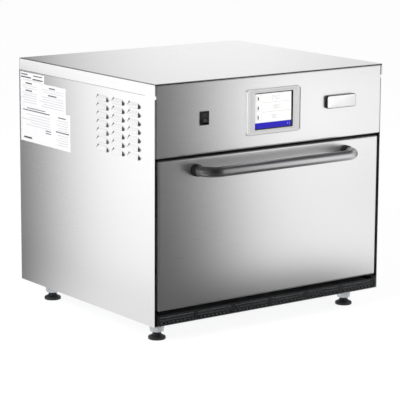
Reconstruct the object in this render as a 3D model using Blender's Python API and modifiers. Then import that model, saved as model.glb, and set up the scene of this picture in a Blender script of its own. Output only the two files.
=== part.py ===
"""A countertop speed oven: a stainless microwave and hot-air oven with a drop-down door.

Metres, +Z up. The origin is on the floor, below the middle of the oven's box.
The front looks along -Y, and distances called depth are measured back from the front plane.
"""
import math

import bmesh
import bpy
from mathutils import Matrix, Vector

# Overall sizes of the casing
WIDTH = 0.711
BODY_DEPTH = 0.622
HEIGHT = 0.642
BASE_UNDERSIDE = 0.050

# Sheet metal and the gaps between pieces
SHEET = 0.0012
LINER_SHEET = 0.0015
SEAT = 0.0003
OVERRUN = 0.004
BEND_RADIUS = 0.004
BEND_STEPS = 3
MERGE = 0.00001
ROUND_SIDES = 20
SMALL_SIDES = 12
COARSE_SIDES = 8
SMOOTH_ANGLE_SHARE = 1 / 6

# Top cover and side panels
CAP_BAND = 0.0304
CAP_STEP = 0.001
PANEL_SETBACK = 0.0017
SEAM_WIDTH = 0.0010
SEAM_START = 0.041
SEAM_END_GAP = 0.025

# Side louvres
LOUVRE_COLUMNS = 3
LOUVRE_ROWS = 7
LOUVRE_FIRST_DEPTH = 0.0603
LOUVRE_PITCH_DEPTH = 0.0685
LOUVRE_FIRST_DROP = 0.0653
LOUVRE_PITCH_DROP = 0.0207
LOUVRE_FOOT_LENGTH = 0.0567
LOUVRE_HEAD_LENGTH = 0.036
LOUVRE_LIP_LENGTH = 0.047
LOUVRE_HEIGHT = 0.0127
LOUVRE_LIP_HEIGHT = 0.0035
LOUVRE_BULGE = 0.005
LOUVRE_SLIT_RISE = 0.0012

# Control fascia
FASCIA_SHARE = 0.2804
FASCIA_RETURN = 0.018
BEZEL_LENGTH = 0.164
BEZEL_DROP = 0.0350
BEZEL_HEIGHT = 0.1132
BEZEL_THICKNESS = 0.006
BEZEL_SIDE_MARGIN = 0.0225
BEZEL_TOP_MARGIN = 0.0098
BEZEL_FOOT_MARGIN = 0.0124
BEZEL_EDGE = 0.0018
DISPLAY_RECESS = 0.004
DISPLAY_THICKNESS = 0.012
SWITCH_SIDE_GAP = 0.1452
SWITCH_DROP = 0.0925
SWITCH_LENGTH = 0.027
SWITCH_HEIGHT = 0.0335
SWITCH_RIM = 0.0018
SWITCH_RIM_PROUD = 0.0022
SWITCH_RIM_STEP = 0.0012
SWITCH_BODY_DEPTH = 0.022
SWITCH_POCKET_DEPTH = 0.020
ROCKER_PIVOT_DEPTH = 0.006
ROCKER_TILT = math.radians(9)
ROCKER_HEIGHT = 0.0250
ROCKER_CREST = 0.0045
ROCKER_DISH = 0.0022
ROCKER_BACK_DEPTH = 0.0095
BADGE_SIDE_GAP = 0.1410
BADGE_DROP = 0.0852
BADGE_LENGTH = 0.0944
BADGE_HEIGHT = 0.0326
BADGE_THICKNESS = 0.0085
BADGE_CORNER = 0.006
BOARD_LENGTH = 0.150
BOARD_HEIGHT = 0.100
BOARD_THICKNESS = 0.0016
CHIP_LENGTH = 0.018
CHIP_THICKNESS = 0.004

# Front frame and cavity
FRAME_DEPTH = 0.044
FRAME_FOOT = 0.080
FRAME_GAP = 0.002
FRAME_RETURN = 0.020
FRAME_SHEET = 0.0008
CAVITY_SIDE_GAP = 0.107
CAVITY_FLOOR_SHARE = 0.2259
CAVITY_CEILING_SHARE = 0.6153
CAVITY_BACK_ROOM = 0.254
CAVITY_CORNER = 0.012
IMPINGER_DROP = 0.015
IMPINGER_HOLE = 0.011
IMPINGER_HOLE_PITCH = 0.085
FLOOR_PLATE_RISE = 0.016
GRILLE_THICKNESS = 0.0012
GRILLE_HOLE = 0.010
GRILLE_HOLE_PITCH = 0.034
GRILLE_RADIUS_SHARE = 0.34

# Wire rack
RACK_RAIL_RADIUS = 0.003
RACK_WIRE_RADIUS = 0.0021
RACK_SIDE_GAP = 0.0285
RACK_FRONT_DEPTH = 0.070
RACK_BACK_GAP = 0.0185
RACK_WIRES = 9

# Convection fan, heater and catalyst behind the cavity
PLENUM_DEPTH = 0.071
CATALYST_SHARE = 0.64
CATALYST_THICKNESS = 0.012
CATALYST_CELLS = 4
CATALYST_WALL = 0.004
IMPELLER_RADIUS_SHARE = 0.34
IMPELLER_INNER_SHARE = 0.208
IMPELLER_HUB_RADIUS = 0.012
IMPELLER_NOSE_RADIUS = 0.008
IMPELLER_NOSE_RISE = 0.004
IMPELLER_BOSS = 0.004
IMPELLER_FRONT_GAP = 0.0205
IMPELLER_LENGTH = 0.032
IMPELLER_PLATE = 0.002
IMPELLER_BLADES = 12
IMPELLER_BLADE_THICKNESS = 0.0015
IMPELLER_BLADE_ANGLE = math.radians(35)
FAN_SHAFT_RADIUS = 0.005
FAN_SHAFT_REACH = 0.1165
HEATER_RADIUS_SHARE = 0.39
HEATER_WIRE_RADIUS = 0.0035
HEATER_FRONT_GAP = 0.0245
HEATER_TURNS = 2
HEATER_PITCH = 0.014
HEATER_LEG_REACH = 0.0885
HEATER_STEPS = 16
MOTOR_FLANGE_RADIUS = 0.045
MOTOR_FLANGE = 0.004
MOTOR_RADIUS = 0.038
MOTOR_LENGTH = 0.070
MOTOR_CAP_RADIUS = 0.018
MOTOR_CAP = 0.010
MOTOR_EDGE = 0.005

# Hot-air duct and insulation round the cavity
DUCT_SIDE_GAP = 0.0685
DUCT_FRONT_DEPTH = 0.100
DUCT_BACK_REACH = 0.0665
BLANKET_ROOF_GAP = 0.0055
DUCT_PORT_MARGIN = 0.012
DUCT_INLET_LENGTH = 0.200
DUCT_INLET_MARGIN = 0.008
INSULATION = 0.025
INSULATION_FRONT_DEPTH = 0.0475

# Microwave feed at both sides
WAVEGUIDE_THICKNESS = 0.023
WAVEGUIDE_FRONT_DEPTH = 0.190
WAVEGUIDE_LENGTH = 0.110
WAVEGUIDE_FOOT = 0.180
WAVEGUIDE_HEIGHT = 0.150
THROAT_FRONT_DEPTH = 0.215
THROAT_LENGTH = 0.060
THROAT_FOOT = 0.200
THROAT_HEIGHT = 0.050
MAGNETRON_DEPTH = 0.245
MAGNETRON_RISE = 0.285
MAGNETRON_RADIUS = 0.019
MAGNETRON_LENGTH = 0.050
MAGNETRON_FIN = 0.0016
MAGNETRON_FINS = 4
MAGNETRON_FIN_SIZE = 0.068
MAGNETRON_YOKE = 0.0025
ANTENNA_RADIUS = 0.007
ANTENNA_LENGTH = 0.016

# Power parts on the base and the shelf
TRANSFORMER_X = 0.130
TRANSFORMER_BACK_GAP = 0.110
CORE_LENGTH = 0.095
CORE_DEPTH = 0.060
CORE_HEIGHT = 0.080
CORE_LIMB = 0.016
COIL_PROUD = 0.010
COIL_EDGE = 0.006
CAPACITOR_SIDE_GAP = 0.0705
CAPACITOR_BACK_GAP = 0.077
CAPACITOR_LENGTH = 0.050
CAPACITOR_THICKNESS = 0.034
CAPACITOR_HEIGHT = 0.095
TERMINAL_SIZE = 0.006
TERMINAL_HEIGHT = 0.010
TERMINAL_SPACING = 0.020
SHELF_FRONT_DEPTH = 0.024
SHELF_BACK_GAP = 0.022
RELAY_BOARD_X = -0.110
RELAY_BOARD_LENGTH = 0.180
RELAY_BOARD_FRONT_DEPTH = 0.220
RELAY_BOARD_DEPTH = 0.160
RELAY_LENGTH = 0.028
RELAY_DEPTH = 0.014
RELAY_HEIGHT = 0.018
RELAY_COUNT = 4

# Cooling fan, rear cowl and cord gland
COOLING_LIFT = 0.030
COOLING_SIZE = 0.120
COOLING_THICKNESS = 0.024
COOLING_BORE_RADIUS = 0.056
COOLING_STRUT = 0.006
COOLING_STRUT_DEPTH = 0.0035
COOLING_HUB_RADIUS = 0.020
ROTOR_RADIUS = 0.053
ROTOR_BLADES = 7
ROTOR_PITCH = math.radians(38)
ROTOR_BLADE_CHORD = 0.021
ROTOR_BLADE_THICKNESS = 0.0015
COWL_LENGTH = 0.300
COWL_HEIGHT = 0.200
COWL_REACH = 0.016
COWL_SLOT_LENGTH = 0.240
COWL_SLOT_HEIGHT = 0.009
COWL_SLOTS = 7
GLAND_SIDE_GAP = 0.1055
GLAND_RISE = 0.115
GLAND_FLANGE_RADIUS = 0.017
GLAND_NECK_RADIUS = 0.0122
GLAND_BORE_RADIUS = 0.006
GLAND_FLANGE = 0.005
GLAND_DOME = 0.009
GLAND_THREAD = 0.014

# Intake filter tray, base and feet
TRAY_SIDE_GAP = 0.0105
TRAY_FRONT_DEPTH = 0.002
TRAY_LENGTH = 0.260
TRAY_HEAD = 0.077
TRAY_SLOT_COLUMNS = 6
TRAY_SLOT_ROWS = 3
TRAY_SLOT_HEIGHT = 0.0035
TRAY_SLOT_PITCH = 0.007
TRAY_SLOT_WEB = 0.012
FILTER_HEIGHT = 0.018
BASE_FRONT_DEPTH = 0.004
BASE_FLANGE_HEAD = 0.0797
FOOT_SIDE_GAP = 0.0555
FOOT_FRONT_DEPTH = 0.070
FOOT_BACK_GAP = 0.067
LEG_FOOT = 0.020
LEG_FOOT_RADIUS = 0.017
LEG_HEAD_RADIUS = 0.021
FOOT_BORE_RADIUS = 0.0070
FOOT_STEM_RADIUS = 0.0065
FOOT_PAD_RADIUS = 0.022
FOOT_PAD_HEIGHT = 0.007
FOOT_CONE_HEIGHT = 0.013
FOOT_CONE_RADIUS = 0.011

# Door
DOOR_SIDE_GAP = 0.0105
DOOR_FOOT = 0.088
DOOR_GAP = 0.0065
DOOR_SKIN_DEPTH = 0.030
DOOR_DEPTH = 0.036
DOOR_PANEL_FRONT_DEPTH = 0.006
CHOKE_OUTER_MARGIN = 0.0255
CHOKE_INNER_MARGIN = 0.010
CHOKE_THICKNESS = 0.0052
CHOKE_SLOT = 0.003
CHOKE_SLOT_LENGTH = 0.012
CHOKE_SLOTS_ACROSS = 10
CHOKE_SLOTS_UP = 5

# Handle
HANDLE_SIDE_GAP = 0.1195
HANDLE_DROP = 0.2162
HANDLE_REACH = 0.054
HANDLE_RADIUS = 0.0128
HANDLE_BEND = 0.038
HANDLE_BEND_STEPS = 6
COLLAR_RADIUS = 0.0148
COLLAR_LENGTH = 0.014
COLLAR_EDGE = 0.0015

# Hinges
HINGE_INSET = 0.016
HINGE_DEPTH = 0.016
HINGE_RISE = 0.010
HINGE_PIN_RADIUS = 0.004
HINGE_HOLE_RADIUS = 0.0045
HINGE_EYE_RADIUS = 0.010
HINGE_ARM = 0.005
HINGE_ARM_ROOT = 0.013
HINGE_SLOT_GAP = 0.001
HINGE_SLOT_FRONT_DEPTH = 0.0038
CLEVIS_INNER = 0.013
CLEVIS_CHEEK = 0.003
CLEVIS_FRONT_DEPTH = 0.007
CLEVIS_WEB_RISE = 0.026
CLEVIS_HEIGHT = 0.114
SPRING_COIL_RADIUS = 0.0048
SPRING_WIRE_RADIUS = 0.001
SPRING_CURLS = 5
SPRING_STEPS = 8

# Places that follow from the sizes above
OVERALL_DEPTH = BODY_DEPTH + HANDLE_REACH + HANDLE_RADIUS + COWL_REACH
FRONT = HANDLE_REACH + HANDLE_RADIUS - OVERALL_DEPTH / 2
BACK = FRONT + BODY_DEPTH
PANEL_HALF = WIDTH / 2 - CAP_STEP
INNER_HALF = PANEL_HALF - SHEET - SEAT
CAP_FOOT = HEIGHT - CAP_BAND
FASCIA_FOOT = HEIGHT * (1 - FASCIA_SHARE)
SWITCH_X = SWITCH_SIDE_GAP - WIDTH / 2
BADGE_X = WIDTH / 2 - BADGE_SIDE_GAP
BASE_TOP = BASE_UNDERSIDE + SHEET
FRAME_HEAD = FASCIA_FOOT - FRAME_GAP
CAVITY_HALF = WIDTH / 2 - CAVITY_SIDE_GAP
CAVITY_FLOOR = HEIGHT * CAVITY_FLOOR_SHARE
CAVITY_CEILING = HEIGHT * CAVITY_CEILING_SHARE
CAVITY_HEIGHT = CAVITY_CEILING - CAVITY_FLOOR
CAVITY_DEPTH = BODY_DEPTH - CAVITY_BACK_ROOM
CAVITY_FRONT = FRONT + FRAME_DEPTH + FRAME_SHEET + SEAT
CAVITY_BACK = CAVITY_FRONT + CAVITY_DEPTH
LINER_HALF = CAVITY_HALF + LINER_SHEET
LINER_FOOT = CAVITY_FLOOR - LINER_SHEET
LINER_HEAD = CAVITY_CEILING + LINER_SHEET
PLENUM_FRONT = CAVITY_BACK + SEAT
PLENUM_BACK = PLENUM_FRONT + PLENUM_DEPTH
FAN_RISE = (CAVITY_FLOOR + CAVITY_CEILING) / 2
GRILLE_RADIUS = CAVITY_HEIGHT * GRILLE_RADIUS_SHARE
CATALYST_SIZE = CAVITY_HEIGHT * CATALYST_SHARE
IMPELLER_RADIUS = CAVITY_HEIGHT * IMPELLER_RADIUS_SHARE
IMPELLER_INNER_RADIUS = CAVITY_HEIGHT * IMPELLER_INNER_SHARE
IMPELLER_FRONT = CAVITY_BACK + IMPELLER_FRONT_GAP
IMPELLER_BACK = IMPELLER_FRONT + IMPELLER_LENGTH
FAN_SHAFT_END = CAVITY_BACK + FAN_SHAFT_REACH
HEATER_RADIUS = CAVITY_HEIGHT * HEATER_RADIUS_SHARE
DUCT_HALF = CAVITY_HALF - DUCT_SIDE_GAP
DUCT_BACK = CAVITY_BACK + DUCT_BACK_REACH
COOLING_RISE = FAN_RISE + COOLING_LIFT
REAR_FACE = BACK - SHEET - SEAT
REAR_INNER = REAR_FACE - SHEET
CAPACITOR_X = CAPACITOR_SIDE_GAP - WIDTH / 2
GLAND_X = WIDTH / 2 - GLAND_SIDE_GAP
TRAY_HALF = WIDTH / 2 - TRAY_SIDE_GAP
FOOT_X = WIDTH / 2 - FOOT_SIDE_GAP
SHELF_FOOT = FRAME_HEAD + SEAT
SHELF_TOP = SHELF_FOOT + SHEET
DISPLAY_HALF = BEZEL_LENGTH / 2 - BEZEL_SIDE_MARGIN
DISPLAY_HEAD = HEIGHT - BEZEL_DROP - BEZEL_TOP_MARGIN
DISPLAY_FOOT = HEIGHT - BEZEL_DROP - BEZEL_HEIGHT + BEZEL_FOOT_MARGIN
DISPLAY_BACK = FRONT - BEZEL_THICKNESS + DISPLAY_RECESS + DISPLAY_THICKNESS
DOOR_HALF = WIDTH / 2 - DOOR_SIDE_GAP
DOOR_HEAD = FASCIA_FOOT - DOOR_GAP
DOOR_PANEL_BACK = FRONT + DOOR_DEPTH
HINGE_X = DOOR_HALF - HINGE_INSET
HINGE_Y = FRONT + HINGE_DEPTH
HINGE_Z = DOOR_FOOT + HINGE_RISE
HANDLE_X = WIDTH / 2 - HANDLE_SIDE_GAP
HANDLE_Z = HEIGHT - HANDLE_DROP
INSULATION_HALF = LINER_HALF + SEAT + INSULATION
DUCT_HEAD = SHELF_FOOT - BLANKET_ROOF_GAP - INSULATION
WAVEGUIDE_X = INSULATION_HALF + SEAT

# Colour, roughness and metallic value of each material
FINISHES = {
    "brushed_steel": ((0.62, 0.62, 0.61), 0.30, 1.0),
    "bright_steel": ((0.72, 0.72, 0.71), 0.22, 1.0),
    "galvanised_steel": ((0.50, 0.52, 0.54), 0.45, 1.0),
    "black_enamel": ((0.02, 0.02, 0.02), 0.35, 0.0),
    "black_plastic": ((0.02, 0.02, 0.02), 0.50, 0.0),
    "satin_grey": ((0.16, 0.16, 0.17), 0.35, 1.0),
    "silver_plastic": ((0.60, 0.60, 0.61), 0.35, 0.6),
    "display_white": ((0.85, 0.87, 0.90), 0.15, 0.0),
    "badge_white": ((0.80, 0.80, 0.80), 0.35, 0.0),
    "board_green": ((0.03, 0.16, 0.07), 0.50, 0.0),
    "insulation_white": ((0.75, 0.73, 0.66), 0.95, 0.0),
    "seal_grey": ((0.10, 0.10, 0.10), 0.70, 0.0),
    "ceramic_grey": ((0.32, 0.30, 0.27), 0.80, 0.0),
    "copper_brown": ((0.42, 0.20, 0.08), 0.45, 0.6),
    "filter_grey": ((0.35, 0.36, 0.37), 0.80, 0.0),
}


def clear_scene():
    """Remove what the file opened with."""
    for leftover in list(bpy.data.objects):
        bpy.data.objects.remove(leftover, do_unlink=True)


def new_collection(name):
    """Make a collection under the scene."""
    made = bpy.data.collections.new(name)
    bpy.context.scene.collection.children.link(made)
    return made


def finish(name):
    """Fetch or make the material of one finish."""
    known = bpy.data.materials.get(name)
    if known:
        return known
    colour, roughness, metallic = FINISHES[name]
    material = bpy.data.materials.new(name)
    material.use_nodes = True
    shader = material.node_tree.nodes["Principled BSDF"]
    shader.inputs["Base Color"].default_value = (*colour, 1)
    shader.inputs["Roughness"].default_value = roughness
    shader.inputs["Metallic"].default_value = metallic
    return material


clear_scene()
PARTS = new_collection("speed_oven")
CUTTERS = new_collection("cutters")


def place(name, shape, look, pivot=None):
    """Turn a bmesh drawn in the oven's frame into an object whose origin is its middle or the pivot."""
    if pivot is None:
        low = Vector([min(vertex.co[axis] for vertex in shape.verts) for axis in range(3)])
        high = Vector([max(vertex.co[axis] for vertex in shape.verts) for axis in range(3)])
        pivot = (low + high) / 2
    pivot = Vector(pivot)
    bmesh.ops.translate(shape, verts=shape.verts, vec=-pivot)
    mesh = bpy.data.meshes.new(name)
    shape.to_mesh(mesh)
    shape.free()
    made = bpy.data.objects.new(name, mesh)
    made.location = pivot
    if look is None:
        CUTTERS.objects.link(made)
        made.hide_render = True
        made.display_type = 'WIRE'
    else:
        mesh.materials.append(finish(look))
        PARTS.objects.link(made)
    return made


def add_box(shape, x, y, z):
    """Add a box between three pairs of limits."""
    size = Vector((x[1] - x[0], y[1] - y[0], z[1] - z[0]))
    middle = Vector((x[0] + x[1], y[0] + y[1], z[0] + z[1])) / 2
    matrix = Matrix.Translation(middle) @ Matrix.Diagonal((*size, 1))
    return bmesh.ops.create_cube(shape, size=1, matrix=matrix)["verts"]


def add_rod(shape, start, end, radius, sides=ROUND_SIDES):
    """Add a round rod between two points."""
    start, end = Vector(start), Vector(end)
    turn = (end - start).to_track_quat('Z', 'Y').to_matrix().to_4x4()
    matrix = Matrix.Translation((start + end) / 2) @ turn
    bmesh.ops.create_cone(shape, cap_ends=True, segments=sides, radius1=radius, radius2=radius,
                          depth=(end - start).length, matrix=matrix)


def add_hull(shape, points):
    """Add the closed skin stretched over a set of points."""
    corners = [shape.verts.new(point) for point in points]
    bmesh.ops.convex_hull(shape, input=corners)
    loose = [corner for corner in corners if corner.is_valid and not corner.link_faces]
    bmesh.ops.delete(shape, geom=loose, context='VERTS')


def box(name, x, y, z, look=None, edge=0, steps=2):
    """A box between three pairs of limits, with its edges rounded when edge is given."""
    shape = bmesh.new()
    add_box(shape, x, y, z)
    if edge:
        bmesh.ops.bevel(shape, geom=shape.edges[:], offset=edge, segments=steps, profile=0.5,
                        affect='EDGES')
    return place(name, shape, look)


def boxes(name, limits, look=None):
    """Several separate boxes in one object, for cutting or joining."""
    shape = bmesh.new()
    for x, y, z in limits:
        add_box(shape, x, y, z)
    return place(name, shape, look)


def rods(name, ends, radius, look=None, sides=ROUND_SIDES):
    """Several separate rods in one object, for cutting or joining."""
    shape = bmesh.new()
    for start, end in ends:
        add_rod(shape, start, end, radius, sides)
    return place(name, shape, look)


def plate(name, x, y, z, look, corner=0, across=1):
    """A flat plate whose corners are rounded in the plane square to the axis called across."""
    shape = bmesh.new()
    add_box(shape, x, y, z)
    if corner:
        along = [edge for edge in shape.edges
                 if abs((edge.verts[0].co - edge.verts[1].co).normalized()[across]) > 0.5]
        bmesh.ops.bevel(shape, geom=along, offset=corner, segments=BEND_STEPS, profile=0.5,
                        affect='EDGES')
    return place(name, shape, look)


SIDES = ("left", "right", "front", "back", "foot", "head")


def folded_pan(name, x, y, z, open_sides, look, sheet=SHEET, bend=BEND_RADIUS):
    """A tray folded from sheet: a box without its open sides, its folds rounded, its wall inside."""
    shape = bmesh.new()
    add_box(shape, x, y, z)
    shape.normal_update()
    gone = []
    for side in open_sides:
        axis, end = divmod(SIDES.index(side), 2)
        gone += [face for face in shape.faces if face.normal[axis] * (2 * end - 1) > 0.5]
    bmesh.ops.delete(shape, geom=gone, context='FACES')
    folds = [edge for edge in shape.edges if len(edge.link_faces) == 2]
    bmesh.ops.bevel(shape, geom=folds, offset=bend, segments=BEND_STEPS, profile=0.5, affect='EDGES')
    made = place(name, shape, look)
    wall = made.modifiers.new("wall", 'SOLIDIFY')
    wall.thickness = sheet
    wall.offset = -1
    wall.use_even_offset = True
    return made


def turned(name, profile, start, look, axis=(0, 0, 1), steps=ROUND_SIDES):
    """A lathe form: radius and height pairs, from the far end of the axis down to the start."""
    mesh = bpy.data.meshes.new(name)
    mesh.from_pydata([(radius, 0, height) for radius, height in profile],
                     [(index, index + 1) for index in range(len(profile) - 1)], [])
    made = bpy.data.objects.new(name, mesh)
    made.location = start
    made.rotation_mode = 'QUATERNION'
    made.rotation_quaternion = Vector(axis).to_track_quat('Z', 'Y')
    screw = made.modifiers.new("turn", 'SCREW')
    screw.steps = steps
    screw.render_steps = steps
    screw.use_merge_vertices = True
    screw.merge_threshold = MERGE
    if look is None:
        CUTTERS.objects.link(made)
        made.hide_render = True
        made.display_type = 'WIRE'
    else:
        mesh.materials.append(finish(look))
        PARTS.objects.link(made)
    return made


def tube(name, points, radius, look, closed=False, resolution=2):
    """A round wire or tube along a list of points."""
    curve = bpy.data.curves.new(name, 'CURVE')
    curve.dimensions = '3D'
    curve.bevel_depth = radius
    curve.bevel_resolution = resolution
    curve.use_fill_caps = not closed
    middle = sum((Vector(point) for point in points), Vector()) / len(points)
    line = curve.splines.new('POLY')
    line.points.add(len(points) - 1)
    for knot, point in zip(line.points, points):
        knot.co = (*(Vector(point) - middle), 1)
    line.use_cyclic_u = closed
    made = bpy.data.objects.new(name, curve)
    made.location = middle
    curve.materials.append(finish(look))
    PARTS.objects.link(made)
    return made


def rounded_path(corners, radius, steps, closed=False):
    """The corners of a route, each interior one replaced by an arc of the radius."""
    corners = [Vector(corner) for corner in corners]
    count = len(corners)
    points = []
    for index, corner in enumerate(corners):
        if not closed and index in (0, count - 1):
            points.append(corner)
            continue
        before = (corners[index - 1] - corner).normalized()
        after = (corners[(index + 1) % count] - corner).normalized()
        half = before.angle(after) / 2
        centre = corner + (before + after).normalized() * (radius / math.sin(half))
        first = corner + before * (radius / math.tan(half)) - centre
        last = corner + after * (radius / math.tan(half)) - centre
        sweep = first.angle(last)
        for step in range(steps + 1):
            share = step / steps
            points.append(centre + (first * math.sin(sweep * (1 - share))
                                    + last * math.sin(sweep * share)) / math.sin(sweep))
    return points


def combine(target, tool, operation):
    """Give the target a Boolean with the tool, which then stays hidden among the cutters."""
    action = target.modifiers.new(operation.lower(), 'BOOLEAN')
    action.operation = operation
    action.solver = 'EXACT'
    action.object = tool
    return target


def cut(target, tool):
    """Take the tool out of the target."""
    return combine(target, tool, 'DIFFERENCE')


def join(target, tool):
    """Melt the tool into the target."""
    return combine(target, tool, 'UNION')


def pivot_at(name, location, pieces):
    """Hang pieces on an empty that stands on their joint's axis."""
    empty = bpy.data.objects.new(name, None)
    empty.location = location
    PARTS.objects.link(empty)
    matrix = Matrix.Translation(Vector(location))
    for piece in pieces:
        piece.parent = empty
        piece.matrix_parent_inverse = matrix.inverted()


def around(centre, reach):
    """The pair of limits that lie a reach to each side of a centre."""
    return (centre - reach, centre + reach)


def make_top_cover():
    """The folded cap: top sheet, side bands and rear band, open towards the fascia."""
    folded_pan("top_cover", around(0, WIDTH / 2), (FRONT, BACK), (CAP_FOOT, HEIGHT),
               ("foot", "front"), "brushed_steel")


def louvre_points(side, start, foot, inset, out, inward, drop):
    """Corners of one louvre: a long trapezium on the sheet that rises to a lip along its lower edge."""
    face = side * PANEL_HALF
    head = foot + LOUVRE_HEIGHT - inset
    middle = start + LOUVRE_FOOT_LENGTH / 2
    points = []
    for length, z, x in ((LOUVRE_FOOT_LENGTH, foot, face - side * inward),
                         (LOUVRE_HEAD_LENGTH, head, face - side * inward),
                         (LOUVRE_LIP_LENGTH, foot - drop, face + side * out),
                         (LOUVRE_LIP_LENGTH, foot + LOUVRE_LIP_HEIGHT - inset, face + side * out)):
        for end in (-1, 1):
            points.append((x, middle + end * (length / 2 - inset), z))
    return points


def make_side_panel(name, side):
    """A flat side sheet with three columns of pressed louvres that open downwards."""
    panel = box(name, sorted((side * (PANEL_HALF - SHEET), side * PANEL_HALF)),
                (FRONT + PANEL_SETBACK, BACK), (BASE_UNDERSIDE, CAP_FOOT - SEAT), "brushed_steel")
    blisters = bmesh.new()
    throats = bmesh.new()
    for column in range(LOUVRE_COLUMNS):
        for row in range(LOUVRE_ROWS):
            start = FRONT + LOUVRE_FIRST_DEPTH + column * LOUVRE_PITCH_DEPTH
            foot = HEIGHT - LOUVRE_FIRST_DROP - row * LOUVRE_PITCH_DROP
            add_hull(blisters, louvre_points(side, start, foot, 0, LOUVRE_BULGE, SHEET / 2, 0))
            slit = louvre_points(side, start, foot + LOUVRE_SLIT_RISE, SHEET,
                                 LOUVRE_BULGE - SHEET, SHEET + OVERRUN, LOUVRE_SLIT_RISE + OVERRUN)
            add_hull(throats, slit)
    join(panel, place(name + "_blisters", blisters, None))
    cut(panel, place(name + "_throats", throats, None))
    seam = box(name + "_seam", around(side * PANEL_HALF, OVERRUN),
               (FRONT + SEAM_START, BACK - SEAM_END_GAP),
               (CAP_FOOT - SEAM_WIDTH, CAP_FOOT + OVERRUN))
    cut(panel, seam)


def make_rear_panel():
    """The flat back sheet with the fan's round outlet and the hole of the cord gland."""
    panel = box("rear_panel", around(0, INNER_HALF - BEND_RADIUS / 2), (REAR_INNER, REAR_FACE),
                (BASE_TOP + SEAT, HEIGHT - SHEET - BEND_RADIUS), "galvanised_steel")
    holes = rods("rear_panel_outlet", [((0, REAR_INNER - OVERRUN, COOLING_RISE),
                                        (0, REAR_FACE + OVERRUN, COOLING_RISE))],
                 COOLING_BORE_RADIUS)
    cut(panel, holes)
    hole = rods("rear_panel_gland_hole", [((GLAND_X, REAR_INNER - OVERRUN, GLAND_RISE),
                                           (GLAND_X, REAR_FACE + OVERRUN, GLAND_RISE))],
                GLAND_NECK_RADIUS + SEAT)
    cut(panel, hole)


def make_rear_cowl():
    """The slotted hood that keeps the air outlet clear of a wall."""
    top = COOLING_RISE + COWL_HEIGHT / 2
    back = BACK + COWL_REACH
    cowl = folded_pan("rear_cowl", around(0, COWL_LENGTH / 2), (REAR_FACE + SEAT, back),
                      (top - COWL_HEIGHT, top), ("front",), "galvanised_steel")
    pitch = COWL_HEIGHT / (COWL_SLOTS + 1)
    slots = []
    for row in range(COWL_SLOTS):
        middle = top - pitch * (row + 1)
        slots.append((around(0, COWL_SLOT_LENGTH / 2), around(back, OVERRUN),
                      around(middle, COWL_SLOT_HEIGHT / 2)))
    cut(cowl, boxes("rear_cowl_slots", slots))


def foot_places():
    """Name and place of each foot."""
    places = []
    for along, y in (("front", FRONT + FOOT_FRONT_DEPTH), ("rear", BACK - FOOT_BACK_GAP)):
        for across, side in (("left", -1), ("right", 1)):
            places.append((along + "_" + across + "_foot", side * FOOT_X, y))
    return places


def make_base_pan():
    """The bottom tray with its four leg sockets, open towards the filter."""
    pan = folded_pan("base_pan", around(0, INNER_HALF), (FRONT + BASE_FRONT_DEPTH, REAR_INNER - SEAT),
                     (BASE_UNDERSIDE, BASE_FLANGE_HEAD), ("head", "front"), "galvanised_steel")
    height = BASE_UNDERSIDE + SHEET / 2 - LEG_FOOT
    profile = [(0, height), (LEG_HEAD_RADIUS, height), (LEG_FOOT_RADIUS, 0), (0, 0)]
    bores = []
    for name, x, y in foot_places():
        join(pan, turned(name + "_socket", profile, (x, y, LEG_FOOT), None, steps=SMALL_SIDES))
        bores.append(((x, y, LEG_FOOT - OVERRUN), (x, y, BASE_UNDERSIDE + SEAT)))
    cut(pan, rods("base_pan_bores", bores, FOOT_BORE_RADIUS, sides=SMALL_SIDES))


def make_feet():
    """Four levelling feet, each a rubber-faced pad on a threaded stem."""
    top = BASE_UNDERSIDE - SEAT
    profile = [(0, top), (FOOT_STEM_RADIUS, top), (FOOT_STEM_RADIUS, FOOT_CONE_HEIGHT),
               (FOOT_CONE_RADIUS, FOOT_CONE_HEIGHT), (FOOT_PAD_RADIUS, FOOT_PAD_HEIGHT),
               (FOOT_PAD_RADIUS, 0), (0, 0)]
    for name, x, y in foot_places():
        turned(name, profile, (x, y, 0), "black_plastic", steps=SMALL_SIDES)


def make_filter_tray():
    """The intake tray below the door: a slotted front with the tray that holds the filter pad."""
    front = FRONT + TRAY_FRONT_DEPTH
    tray = folded_pan("filter_tray", around(0, TRAY_HALF), (front, front + TRAY_LENGTH),
                      (BASE_TOP + SEAT, TRAY_HEAD), ("head",), "black_enamel", bend=BEND_RADIUS / 2)
    middle = (BASE_TOP + SEAT + TRAY_HEAD) / 2
    pitch = 2 * TRAY_HALF / TRAY_SLOT_COLUMNS
    slots = []
    for column in range(TRAY_SLOT_COLUMNS):
        x = (column + 0.5) * pitch - TRAY_HALF
        for row in range(TRAY_SLOT_ROWS):
            z = middle + (row - (TRAY_SLOT_ROWS - 1) / 2) * TRAY_SLOT_PITCH
            slots.append((around(x, (pitch - TRAY_SLOT_WEB) / 2), around(front, OVERRUN),
                          around(z, TRAY_SLOT_HEIGHT / 2)))
    cut(tray, boxes("filter_tray_slots", slots))
    inner = SHEET + SEAT
    foot = BASE_TOP + SEAT + inner
    edge = BEND_RADIUS / 2
    pad = box("filter_pad", around(0, TRAY_HALF - inner),
              (front + inner, front + TRAY_LENGTH - inner), (foot, foot + FILTER_HEIGHT),
              "filter_grey", edge=edge, steps=1)
    return tray, pad


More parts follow.
